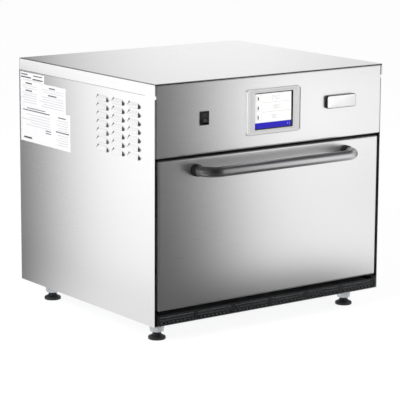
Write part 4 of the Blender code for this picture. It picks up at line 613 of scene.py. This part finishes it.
def grid_faces(rows, columns, wrap_rows=False, wrap_columns=False):
    """Quads over a grid of points: each joins a point to its neighbours in the next column and row."""
    index = np.arange(rows * columns).reshape(rows, columns)
    aside = np.roll(index, -1, 1)
    quads = np.stack([index, aside, np.roll(aside, -1, 0), np.roll(index, -1, 0)], -1)
    quads = quads[:rows if wrap_rows else rows - 1, :columns if wrap_columns else columns - 1]
    return quads.reshape(-1, 4)


def sweep(path, up, radius, sides):
    """A round tube along a path: ring j is path j plus the radius times the circle of two directions square
    to the path there. It closes to a point at both ends."""
    path = np.array(path, float)
    ahead = np.gradient(path, axis=0)
    ahead /= np.linalg.norm(ahead, axis=1, keepdims=True)
    side = np.cross(ahead, up)
    side /= np.linalg.norm(side, axis=1, keepdims=True)
    angle = np.linspace(0, 2 * math.pi, sides, endpoint=False)[None, :, None]
    circle = side[:, None] * np.cos(angle) + np.cross(side, ahead)[:, None] * np.sin(angle)
    ends = np.repeat(path[[0, -1], None], sides, 1)
    rings = np.concatenate([ends[:1], path[:, None] + radius * circle, ends[1:]])
    return rings.reshape(-1, 3), grid_faces(*rings.shape[:2], False, True)


def lay_shade_bead():
    """The bead of painted shade runs straight along the fascia's head."""
    low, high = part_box("control_fascia")
    ends = [(x, FRONT + BEAD_DEPTH, TOP - BEAD_DROP) for x in (low.x, high.x)]
    add_piece("cap_joint_shade_bead", sweep(ends, (0, 0, 1), BEAD_RADIUS, BEAD_SIDES), black_rubber_and_shade, "oven_body")


# Black rubber for the door's seal and the screen's gasket; its black also makes the painted shade of the cap
# joint's bead and of the bezel's right edge.
black_rubber_and_shade = moulded("black_rubber_and_shade", RUBBER_AND_SHADE_BLACK, roughness=0.5, mottle=0.3, pitch=1200, depth=0.00003)
lay_shade_bead()


# Back, base and inner sheet metal: folded from zinc-coated steel, which keeps its frozen crystal pattern, and
# screwed or spot welded together. The magnetrons and the fan's motor have cans of the same sheet.
ZINC = (0.55, 0.57, 0.59)
ZINC_METAL = 0.9
ZINC_TINT = (0.88, 0.22)
ZINC_MATT = (0.36, 0.20)
ZINC_DEPTH = 0.00002
CRYSTALS = 70


def zinc_sheet(name, colour):
    """Cells of a Voronoi pattern differ in tone and roughness as zinc crystals do."""
    recipe = Recipe(name, {"Metallic": ZINC_METAL})
    cells = recipe.node("ShaderNodeTexVoronoi", {"feature": 'F1'},
                        {"Vector": recipe.place(), "Scale": CRYSTALS}, "Color")
    tone = recipe.node("ShaderNodeSeparateColor", {}, {0: cells}, 0)
    recipe.feed("Base Color", recipe.shade(colour, ZINC_TINT[0] + ZINC_TINT[1] * tone))
    recipe.feed("Roughness", ZINC_MATT[0] + ZINC_MATT[1] * tone)
    recipe.bump(tone, ZINC_DEPTH)
    return recipe.material


zinc = zinc_sheet("zinc", ZINC)
dress(zinc, "rear_panel", "rear_cowl", "base_pan", "fan_plenum", "hot_air_duct", "component_shelf",
      "waveguide_left", "waveguide_right", "magnetron_left", "magnetron_right", "convection_motor")


# Display: a silver moulded bezel is clipped into the fascia, with a cove that falls to the recessed screen,
# a black band of painted shade at its right edge and a pale band of painted highlight along its left wall, a
# black gasket round the window, and black glass.
BEZEL_LOW, BEZEL_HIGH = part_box("screen_bezel")
GLASS_LOW, GLASS_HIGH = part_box("touch_display")
BEZEL_SILVER = (0.60, 0.60, 0.60)
# The near-white next below colours the painted highlight on the bezel's left wall.
EDGE_HIGHLIGHT = (0.94, 0.94, 0.94)
GLASS_BLACK = (0.006, 0.006, 0.007)
SEAT = 0.0003
WINDOW_SIDE = 0.0003
CORNER_STEPS = 6
EDGE_SHADE_INSETS = (0.0024, 0.0002)
EDGE_SHADE_END = 0.0040
EDGE_SHADE_DEPTHS = (0.0030, 0.00005)
HIGHLIGHT_INSETS = (-0.0001, 0.0004)
HIGHLIGHT_END = 0.0055
HIGHLIGHT_FOOT = 0.0004
HIGHLIGHT_DEPTH = 0.0024
GASKET_FOOT = 0.0021

# The bezel's section, from its outer wall over the face. Each row gives the inset from its outline across and
# up, the share of the window's rise, the corner's radius and the depth below the face. Round the window, and
# on the gasket, a row gives the distance outside the window across and up, the radius and the depth.
BEZEL_OUTSIDE = [(0, 0, 0, 0.0050, 0.0022), (0.0007, 0.0007, 0, 0.0046, 0.0009),
                 (0.0020, 0.0018, 0, 0.0040, 0.0001), (0.0040, 0.0030, 0, 0.0036, 0),
                 (0.0078, 0.0040, 0, 0.0034, 0.0002), (0.0094, 0.0050, 0.25, 0.0030, 0.0016)]
BEZEL_WINDOW = [(0.0050, 0.0026, 0.0028, 0.0020), (0.0022, 0.0018, 0.0024, 0.0010),
                (0.0003, 0.0003, 0.0020, 0.0014), (0.0002, 0.0002, 0.0020, 0.0022)]
GASKET_HEAD = [(0.0002, 0.0002, 0.0020, 0.0020), (-0.0002, -0.0002, 0.0018, 0.0017)]


def rounded_rings(rows):
    """Rings of rounded rectangles. Each row gives half width, half height, rise, corner radius and level; a
    point is its corner's centre plus the radius times the unit direction of its angle."""
    half_u, half_v, rise, corner, level = np.array(rows, float).T[:, :, None]
    quarter = np.repeat(np.arange(4), CORNER_STEPS + 1)
    angle = (quarter + np.tile(np.linspace(0, 1, CORNER_STEPS + 1), 4)) * math.pi / 2
    right = np.array([1, -1, -1, 1])[quarter]
    up = np.array([1, 1, -1, -1])[quarter]
    u = right * (half_u - corner) + corner * np.cos(angle)
    v = rise + up * (half_v - corner) + corner * np.sin(angle)
    return np.stack([u, v, np.broadcast_to(level, u.shape)], -1)


def rounded_form(rows, origin, ways, closed=False):
    """A form through rounded rings, closed on itself or to a point at both ends."""
    rings = rounded_rings(rows)
    faces = grid_faces(*rings.shape[:2], closed, True)
    return np.array(origin) + rings.reshape(-1, 3) @ ways, faces


def make_bezel():
    """Bezel and gasket are rings whose section is given by rounded rectangles; the bands of painted shade and
    painted highlight are slabs.
    """
    middle = ((BEZEL_LOW.x + BEZEL_HIGH.x) / 2, FRONT, (BEZEL_LOW.z + BEZEL_HIGH.z) / 2)
    half_u = (BEZEL_HIGH.x - BEZEL_LOW.x) / 2
    half_v = (BEZEL_HIGH.z - BEZEL_LOW.z) / 2
    rise = (GLASS_LOW.z + GLASS_HIGH.z) / 2 - middle[2]
    window_u = (GLASS_HIGH.x - GLASS_LOW.x) / 2 + WINDOW_SIDE
    window_v = (GLASS_HIGH.z - GLASS_LOW.z) / 2 + WINDOW_SIDE
    proud = FRONT - BEZEL_LOW.y
    outside = [(half_u - across, half_v - up, rise * share, corner, proud - depth)
               for across, up, share, corner, depth in BEZEL_OUTSIDE]
    window, gasket = [[(window_u + across, window_v + up, rise, corner, proud - depth)
                       for across, up, corner, depth in rows] for rows in (BEZEL_WINDOW, GASKET_HEAD)]
    rows = [(*outside[0][:4], SEAT), *outside, *window, (*window[-1][:4], SEAT)]
    add_piece("screen_bezel_moulding", rounded_form(rows, middle, FACING_FRONT, True),
              moulded("bezel_silver", BEZEL_SILVER, roughness=0.38, mottle=0.06, metallic=0.12),
              "oven_body", ("screen_bezel",))
    # A black band at the bezel's right edge is painted shade.
    edge_shade = (half_u - EDGE_SHADE_INSETS[0], half_u - EDGE_SHADE_INSETS[1], EDGE_SHADE_END - half_v, half_v - EDGE_SHADE_END)
    add_piece("bezel_edge_painted_shade", slabs(edge_shade, (proud - EDGE_SHADE_DEPTHS[0], proud - EDGE_SHADE_DEPTHS[1]), middle,
                                        FACING_FRONT),
              black_rubber_and_shade, "oven_body")
    # A pale band on the bezel's left wall is painted highlight.
    highlight = (HIGHLIGHT_INSETS[0] - half_u, HIGHLIGHT_INSETS[1] - half_u, HIGHLIGHT_END - half_v, half_v - HIGHLIGHT_END)
    add_piece("bezel_edge_painted_highlight", slabs(highlight, (HIGHLIGHT_FOOT, proud - HIGHLIGHT_DEPTH), middle, FACING_FRONT),
              moulded("edge_highlight", EDGE_HIGHLIGHT, roughness=0.3, mottle=0.04), "oven_body")
    rows = gasket + [(*row[:4], GASKET_FOOT) for row in reversed(gasket)]
    add_piece("screen_gasket", rounded_form(rows, middle, FACING_FRONT, True), black_rubber_and_shade,
              "oven_body")


black_glass = moulded("black_glass", GLASS_BLACK, roughness=0.08, mottle=0.2, depth=0.0000005)
dress(black_glass, "touch_display")
make_bezel()


# Lit picture on the glass: a white field with three rows of plain numerals, each after an outlined cell with
# a dark tick, pale dividers between the rows, and a blue bar with two lights along its foot.
SCREEN_WHITE = (0.84, 0.84, 0.83)
SCREEN_BLUE = (0.020, 0.015, 0.42)
SCREEN_GREY = (0.50, 0.48, 0.48)
SCREEN_BLACK = (0.02, 0.02, 0.025)
SCREEN_PALE_BLUE = (0.16, 0.14, 0.75)
INK_DEPTH = 0.000001
PICTURE_MARGIN = 0.0022
PICTURE_SHIFT = 0.0016
PICTURE_LEVELS = (0.00002, 0.00015)
INK_LEVELS = (0.00015, 0.00022)

# Shares and runs are of the picture's width or of its height from the top, and the lights' of the bar. The
# other sizes are in metres.
BAR_SHARE = 0.833
DIVIDER_SHARES = (0.267, 0.540)
DIVIDER_RUN = (0.20, 0.98)
DIVIDER_THICKNESS = 0.0009
ROWS = {"250": 0.136, "180": 0.407, "90": 0.679}
CELL_RUN = (0.05, 0.19)
CELL_HALF = 0.008
CELL_LINE = 0.0005
TICK_RUN = (0.078, 0.108)
TICK_HALF = 0.0042
NUMBER_START = 0.46
NUMBER_DROP = 0.005
NUMBER_HEIGHT = 0.011
LIGHTS = ((0.895, 0.920, 0.35, 0.65), (0.955, 0.963, 0.10, 0.90))

# Strokes of a seven-segment numeral, as shares of its height, and the strokes that each digit lights.
DIGIT_PITCH = 0.8
STROKES = {"a": (0.12, 0.44, 0.88, 1.0), "b": (0.44, 0.56, 0.56, 0.88), "c": (0.44, 0.56, 0.12, 0.44),
           "d": (0.12, 0.44, 0.0, 0.12), "e": (0.0, 0.12, 0.12, 0.44), "f": (0.0, 0.12, 0.56, 0.88),
           "g": (0.12, 0.44, 0.44, 0.56)}
DIGITS = {"0": "abcdef", "1": "bc", "2": "abged", "5": "afgcd", "8": "abcdefg", "9": "abcdfg"}


def numerals(text, left, foot):
    """Limits of the strokes of a number: each digit lies one pitch to the right of the last."""
    strokes = [(np.array(STROKES[stroke]) + (DIGIT_PITCH * place, DIGIT_PITCH * place, 0, 0)) * NUMBER_HEIGHT
               for place, digit in enumerate(text) for stroke in DIGITS[digit]]
    return np.array(strokes) + (left, left, foot, foot)


def outline(left, right, foot, head, width):
    """Limits of the four strokes of a rectangle's outline."""
    return np.array([(left, right, foot, foot + width), (left, right, head - width, head),
                     (left, left + width, foot, head), (right - width, right, foot, head)])


def paint_picture():
    """Field and bar lie on the glass, and all the marks lie on them."""
    corner = (GLASS_LOW.x + PICTURE_MARGIN - PICTURE_SHIFT, GLASS_LOW.y, GLASS_LOW.z + PICTURE_MARGIN)
    wide = GLASS_HIGH.x - GLASS_LOW.x - 2 * PICTURE_MARGIN
    tall = GLASS_HIGH.z - GLASS_LOW.z - 2 * PICTURE_MARGIN
    bar = tall * (1 - BAR_SHARE)
    heights = {text: (1 - share) * tall for text, share in ROWS.items()}
    cells = [outline(CELL_RUN[0] * wide, CELL_RUN[1] * wide, height - CELL_HALF, height + CELL_HALF,
                     CELL_LINE) for height in heights.values()]
    dividers = [(DIVIDER_RUN[0] * wide, DIVIDER_RUN[1] * wide, (1 - share) * tall,
                 (1 - share) * tall + DIVIDER_THICKNESS) for share in DIVIDER_SHARES]
    numbers = [numerals(text, NUMBER_START * wide, height - NUMBER_DROP) for text, height in heights.items()]
    ticks = [(TICK_RUN[0] * wide, TICK_RUN[1] * wide, height - TICK_HALF, height + TICK_HALF)
             for height in heights.values()]
    rows = (
        ("screen_field", [(0, wide, bar, tall)], PICTURE_LEVELS,
         moulded("screen_white", SCREEN_WHITE, roughness=0.25, mottle=0.02, depth=INK_DEPTH, glow=0.12,
                 shine=0.2)),
        ("screen_bar", [(0, wide, 0, bar)], PICTURE_LEVELS,
         moulded("screen_blue", SCREEN_BLUE, roughness=0.25, mottle=0.3, pitch=300, depth=INK_DEPTH,
                 glow=0.10, shine=0.15)),
        ("screen_pale_marks", np.concatenate([*cells, dividers, *numbers]), INK_LEVELS,
         moulded("screen_grey", SCREEN_GREY, roughness=0.3, mottle=0.02, depth=INK_DEPTH, glow=0.08,
                 shine=0.2)),
        ("screen_dark_marks", ticks, INK_LEVELS,
         moulded("screen_black", SCREEN_BLACK, roughness=0.3, mottle=0.1, depth=INK_DEPTH)),
        ("screen_blue_marks", np.array(LIGHTS) * (wide, wide, bar, bar), INK_LEVELS,
         moulded("screen_pale_blue", SCREEN_PALE_BLUE, roughness=0.3, mottle=0.05, depth=INK_DEPTH,
                 glow=0.2)))
    for name, limits, levels, material in rows:
        add_piece(name, slabs(limits, levels, corner, FACING_FRONT), material, "oven_body")


paint_picture()


# Name plate: a thick black moulded block with rounded corners is screwed on from behind the fascia, and a
# thin bare pale plate is let into its face.
BADGE_LOW, BADGE_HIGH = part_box("badge_block")
BLOCK_BLACK = (0.012, 0.012, 0.012)
PLATE_WHITE = (0.80, 0.80, 0.80)
BADGE_CORNER = 0.006

# Sections of block and plate: the inset from the block's outline, and the depth below the plate's face.
BLOCK_SECTION = ((0, 0.0010), (0.0003, 0.0006), (0.0009, 0.0005))
PLATE_SECTION = ((0.0014, 0.0006), (0.0014, 0.0002), (0.0017, 0))


def badge_form(section, half_u, half_v, middle):
    """A form through rings at insets and levels, closed to a point in the middle of each face."""
    rings = [(half_u - inset, half_v - inset, 0, BADGE_CORNER - inset, level) for inset, level in section]
    rows = [(0, 0, 0, 0, section[0][1]), *rings, (0, 0, 0, 0, section[-1][1])]
    return rounded_form(rows, middle, FACING_FRONT)


def make_badge():
    """Block and plate, each through its own section."""
    middle = ((BADGE_LOW.x + BADGE_HIGH.x) / 2, FRONT, (BADGE_LOW.z + BADGE_HIGH.z) / 2)
    half_u = (BADGE_HIGH.x - BADGE_LOW.x) / 2
    half_v = (BADGE_HIGH.z - BADGE_LOW.z) / 2
    proud = FRONT - BADGE_LOW.y
    block, plate = [[(inset, proud - depth) for inset, depth in section]
                    for section in (BLOCK_SECTION, PLATE_SECTION)]
    add_piece("name_plate_block", badge_form([(0, SEAT), *block], half_u, half_v, middle),
              moulded("block_black", BLOCK_BLACK, roughness=0.22, mottle=0.2), "oven_body",
              ("badge_block",))
    add_piece("name_plate_face", badge_form(plate, half_u, half_v, middle),
              moulded("plate_white", PLATE_WHITE, roughness=0.3, mottle=0.02), "oven_body")


make_badge()


# Mains rocker: housing and rocker are satin black mouldings, the housing snapped into the fascia and the
# rocker pivoted in it, with a ring and a bar printed on the rocker's two halves.
PLASTIC_BLACK = (0.010, 0.010, 0.011)
MARK_GREY = (0.14, 0.14, 0.14)
FRONTAL = -0.5
MARK_LEVELS = (0.00002, 0.00018)
RING_RADII = (0.0030, 0.0022)
BAR_HALF = (0.0004, 0.0030)


def rocker_half(upper):
    """Middle and ways of one half of the rocker's front: right, up along it, and out of it. Its faces point
    forwards, above or below the mean height of all faces."""
    mesh = nodes["power_rocker"].data
    middle = sum((face.center.z for face in mesh.polygons), 0.0) / len(mesh.polygons)
    faces = [face for face in mesh.polygons if face.normal.y < FRONTAL and (face.center.z > middle) == upper]
    corners = np.array([mesh.vertices[index].co for face in faces for index in face.vertices])
    out = np.array(faces[0].normal)
    right = np.array([1.0, 0.0, 0.0])
    return (corners.min(0) + corners.max(0)) / 2, np.array([right, np.cross(out, right), out])


def mark_rocker():
    """A ring on the lower half and an upright bar on the upper one."""
    middle, ways = rocker_half(False)
    low, high = MARK_LEVELS
    outer, inner = RING_RADII
    rows = [(radius, radius, 0, radius, level)
            for radius, level in ((outer, low), (outer, high), (inner, high), (inner, low))]
    ring = rounded_form(rows, middle, ways, True)
    middle, ways = rocker_half(True)
    bar = slabs((-BAR_HALF[0], BAR_HALF[0], -BAR_HALF[1], BAR_HALF[1]), MARK_LEVELS, middle, ways)
    add_piece("rocker_marks", gather(ring, bar), moulded("mark_grey", MARK_GREY, roughness=0.5, mottle=0.1),
              "rocker")


plastic = moulded("black_plastic", PLASTIC_BLACK, roughness=0.45, mottle=0.3, pitch=1500, depth=0.00002)
dress(plastic, "switch_housing", "power_rocker", "cooling_fan_frame", "cooling_fan_rotor", "cord_gland")
mark_rocker()


# Door handle: a steel tube, bent at both ends and finished satin grey, is screwed on through the door skin,
# its ends held in turned black collars.
TUBE_LOW, TUBE_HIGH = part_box("handle_bar")
HANDLE_GREY = (0.61, 0.61, 0.62)
TUBE_RADIUS = (TUBE_HIGH.z - TUBE_LOW.z) / 2
TUBE_BEND = 0.038
TUBE_SEAT = 0.0003
TUBE_SIDES = 40
LEG_POINTS = 4
BEND_POINTS = 22
BEND_LEAD = 0.002
COLLAR_SIDES = 40
COLLAR_PROFILE = [(0.0130, 0.0003), (0.0150, 0.0003), (0.0153, 0.0007), (0.0153, 0.0022), (0.0149, 0.0026),
                  (0.0142, 0.0028), (0.0142, 0.0036), (0.0147, 0.0038), (0.0149, 0.0042), (0.0149, 0.0122),
                  (0.0146, 0.0134), (0.0141, 0.0141), (0.0135, 0.0143), (0.0130, 0.0140)]


def lathe(profile, origin, ahead, side, sides, closed=False):
    """A turned form: each profile point is a radius and a height, carried round the axis."""
    radius, height = np.array(profile, float).T[:, :, None, None]
    angle = np.linspace(0, 2 * math.pi, sides, endpoint=False)[None, :, None]
    ahead, side = np.array(ahead, float), np.array(side, float)
    circle = np.cos(angle) * side + np.sin(angle) * np.cross(ahead, side)
    rings = np.array(origin) + height * ahead + radius * circle
    return rings.reshape(-1, 3), grid_faces(*rings.shape[:2], closed, True)


def make_handle():
    """The bar runs out of one collar, round a quarter circle, along the door and back the same way."""
    reach = TUBE_HIGH.x - TUBE_RADIUS
    bar_y = TUBE_LOW.y + TUBE_RADIUS
    height = (TUBE_LOW.z + TUBE_HIGH.z) / 2
    turn = np.linspace(math.pi, 1.5 * math.pi, BEND_POINTS)
    centre = (TUBE_BEND - reach, bar_y + TUBE_BEND)
    leg = np.stack([np.full(LEG_POINTS, -reach),
                    np.linspace(FRONT - TUBE_SEAT, centre[1] + BEND_LEAD, LEG_POINTS)], 1)
    bend = np.stack([centre[0] + TUBE_BEND * np.cos(turn), centre[1] + TUBE_BEND * np.sin(turn)], 1)
    along = np.array([(centre[0] + BEND_LEAD, bar_y), (0, bar_y)])
    half = np.concatenate([leg, bend, along])
    route = np.concatenate([half, half[-2::-1] * (-1, 1)])
    path = np.column_stack([route, np.full(len(route), height)])
    add_piece("handle_tube", sweep(path, (0, 0, 1), TUBE_RADIUS, TUBE_SIDES), handle_steel, "door",
              ("handle_bar",))
    for hand, side in (("left", -1), ("right", 1)):
        collar = lathe(COLLAR_PROFILE, (side * reach, FRONT, height), (0, -1, 0), (1, 0, 0), COLLAR_SIDES,
                       closed=True)
        add_piece("collar_" + hand, collar, plastic, "door", ("handle_collar_" + hand,))


handle_steel = moulded("handle_steel", HANDLE_GREY, roughness=0.36, mottle=0.04, pitch=1200, depth=0.000002,
                       metallic=1.0)
make_handle()


# Oven liner, inner door and hinges: bright stainless sheet and bar, a little yellowed by heat, welded or
# screwed together. The door's seal is black silicone, pressed into its channel.
LINER = (0.72, 0.70, 0.66)
LINER_ROUGHNESS = 0.26
INNER_DOOR_ROUGHNESS = 0.28
liner_steel = brushed_steel("liner_steel", LINER, LINER_ROUGHNESS, 1)
door_steel = brushed_steel("door_inner_steel", LINER, INNER_DOOR_ROUGHNESS, 0)
dress(liner_steel, "cavity_box", "rear_wall_grille", "upper_impinger_plate", "lower_impinger_plate",
      "convection_impeller", "capacitor", "heater_coil")
dress(door_steel, "door_inner_panel", "door_choke_frame", "hinge_arm_left", "hinge_arm_right",
      "hinge_clevis_left", "hinge_clevis_right", "hinge_pin_left", "hinge_pin_right",
      "door_spring_left", "door_spring_right")
dress(black_rubber_and_shade, "door_seal")


# Wire rack: two runner rails of round stainless wire, with thinner cross wires let into their tops and
# welded. It lies loose on the cavity's floor.
RACK_WIRES = 9
RACK_INSET = 4
RAIL_RADIUS = 0.003
RAIL_SIDES = 16
WIRE_RADIUS = 0.0021
WIRE_SIDES = 14


def make_rack():
    """Wire k lies k pitches behind the first, half a rail's radius above the rails' axes. The first and the
    last are an inset of so many wire radii from the rails' ends."""
    low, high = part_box("wire_rack")
    rail_z = low.z + RAIL_RADIUS
    wire_z = rail_z + RAIL_RADIUS / 2
    sides = (low.x + RAIL_RADIUS, high.x - RAIL_RADIUS)
    inset = RACK_INSET * WIRE_RADIUS
    rails = [sweep([(x, low.y, rail_z), (x, high.y, rail_z)], (0, 0, 1), RAIL_RADIUS, RAIL_SIDES)
             for x in sides]
    wires = [sweep([(x, y, wire_z) for x in sides], (0, 0, 1), WIRE_RADIUS, WIRE_SIDES)
             for y in np.linspace(low.y + inset, high.y - inset, RACK_WIRES)]
    add_piece("rack_wires", gather(*rails, *wires), liner_steel, "oven_body", ("wire_rack",))


make_rack()


# Levelling feet: black moulded pads with a rolled rim, each on a threaded stem that is screwed into the
# base's socket.
FOOT_SIDES = 36
FOOT_PROFILE = [(0, 0), (0.0208, 0), (0.0217, 0.0006), (0.0220, 0.0016), (0.0220, 0.0054), (0.0214, 0.0068),
                (0.0200, 0.0078), (0.0150, 0.0100), (0.0120, 0.0124), (0.0110, 0.0138), (0.0106, 0.0176),
                (0.0098, 0.0184), (0.0064, 0.0188)]
THREAD_TURNS = 16
THREAD_RADII = (0.0058, 0.0066)
THREAD_FOOT = 0.0190
THREAD_RUNOUT = 0.0006


def make_feet():
    """Each foot is turned; its stem's radius goes to and fro between the thread's root and crest."""
    for name in ("front_left_foot", "front_right_foot", "rear_left_foot", "rear_right_foot"):
        low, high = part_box(name)
        heights = np.linspace(THREAD_FOOT, high.z - THREAD_RUNOUT, 2 * THREAD_TURNS)
        radii = np.where(np.arange(2 * THREAD_TURNS) % 2, *THREAD_RADII)
        profile = np.concatenate([FOOT_PROFILE, np.stack([radii, heights], 1),
                                  [(THREAD_RADII[0], high.z), (0, high.z)]])
        middle = ((low.x + high.x) / 2, (low.y + high.y) / 2, 0)
        body = "foot_" + "_".join(name.split("_")[:2])
        add_piece(name + "_pad", lathe(profile, middle, (0, 0, 1), (1, 0, 0), FOOT_SIDES), plastic, body,
                  (name,))


make_feet()


# Intake filter: a black enamelled tray of folded sheet slides out below the door, and a pleated pad of grey
# fleece lies loose in it. The frame round the door has the same enamel.
ENAMEL_BLACK = (0.012, 0.012, 0.013)
FLEECE_GREY = (0.20, 0.21, 0.22)
PLEATS = 58
PAD_SKIN = 0.0022
enamel = moulded("black_enamel", ENAMEL_BLACK, roughness=0.5, mottle=0.15)
fleece = moulded("filter_fleece", FLEECE_GREY, roughness=0.95, mottle=0.5, pitch=400, depth=0.0005)
dress(enamel, "front_frame", "filter_tray")


def make_filter():
    """The pad's skin goes up and down between foot and head, and its underside follows a skin lower."""
    low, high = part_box("filter_pad")
    x = np.linspace(low.x, high.x, 2 * PLEATS + 1)
    count = len(x)
    upper = np.where(np.arange(count) % 2, high.z, low.z + PAD_SKIN)
    lines = [(low.y, upper - PAD_SKIN), (low.y, upper), (high.y, upper), (high.y, upper - PAD_SKIN)]
    rows = np.stack([np.stack([x, np.full(count, y), z], 1) for y, z in lines])
    ends = np.array([[0, count, 2 * count, 3 * count]])
    faces = np.concatenate([grid_faces(4, count, True), ends, ends + count - 1])
    add_piece("pleated_filter", (rows.reshape(-1, 3), faces), fleece, "filter_drawer",
              ("filter_pad",))


make_filter()


# Inside the casing: mineral fibre is packed round the cavity and into the door, circuit boards stand on
# spacers, a ceramic catalyst sits before the fan, and laminated iron makes up the transformers' cores.
FIBRE = (0.62, 0.58, 0.48)
BOARD_GREEN = (0.02, 0.12, 0.05)
CERAMIC = (0.30, 0.26, 0.21)
IRON = (0.16, 0.15, 0.15)
fibre = moulded("mineral_fibre", FIBRE, roughness=0.9, mottle=0.4, pitch=300, depth=0.0006)
board = moulded("circuit_board", BOARD_GREEN, roughness=0.4, mottle=0.4, pitch=500, depth=0.0001)
ceramic = moulded("ceramic", CERAMIC, roughness=0.8, mottle=0.4, pitch=500, depth=0.0001)
iron = moulded("laminated_iron", IRON, roughness=0.6, mottle=0.4, pitch=700, depth=0.0001, metallic=0.6)
dress(fibre, "insulation_blanket", "door_insulation")
dress(board, "control_board", "relay_board")
dress(ceramic, "catalytic_converter")
dress(iron, "transformer_left", "transformer_right")

# Colours are shown plainly.
bpy.context.scene.view_settings.view_transform = 'Standard'
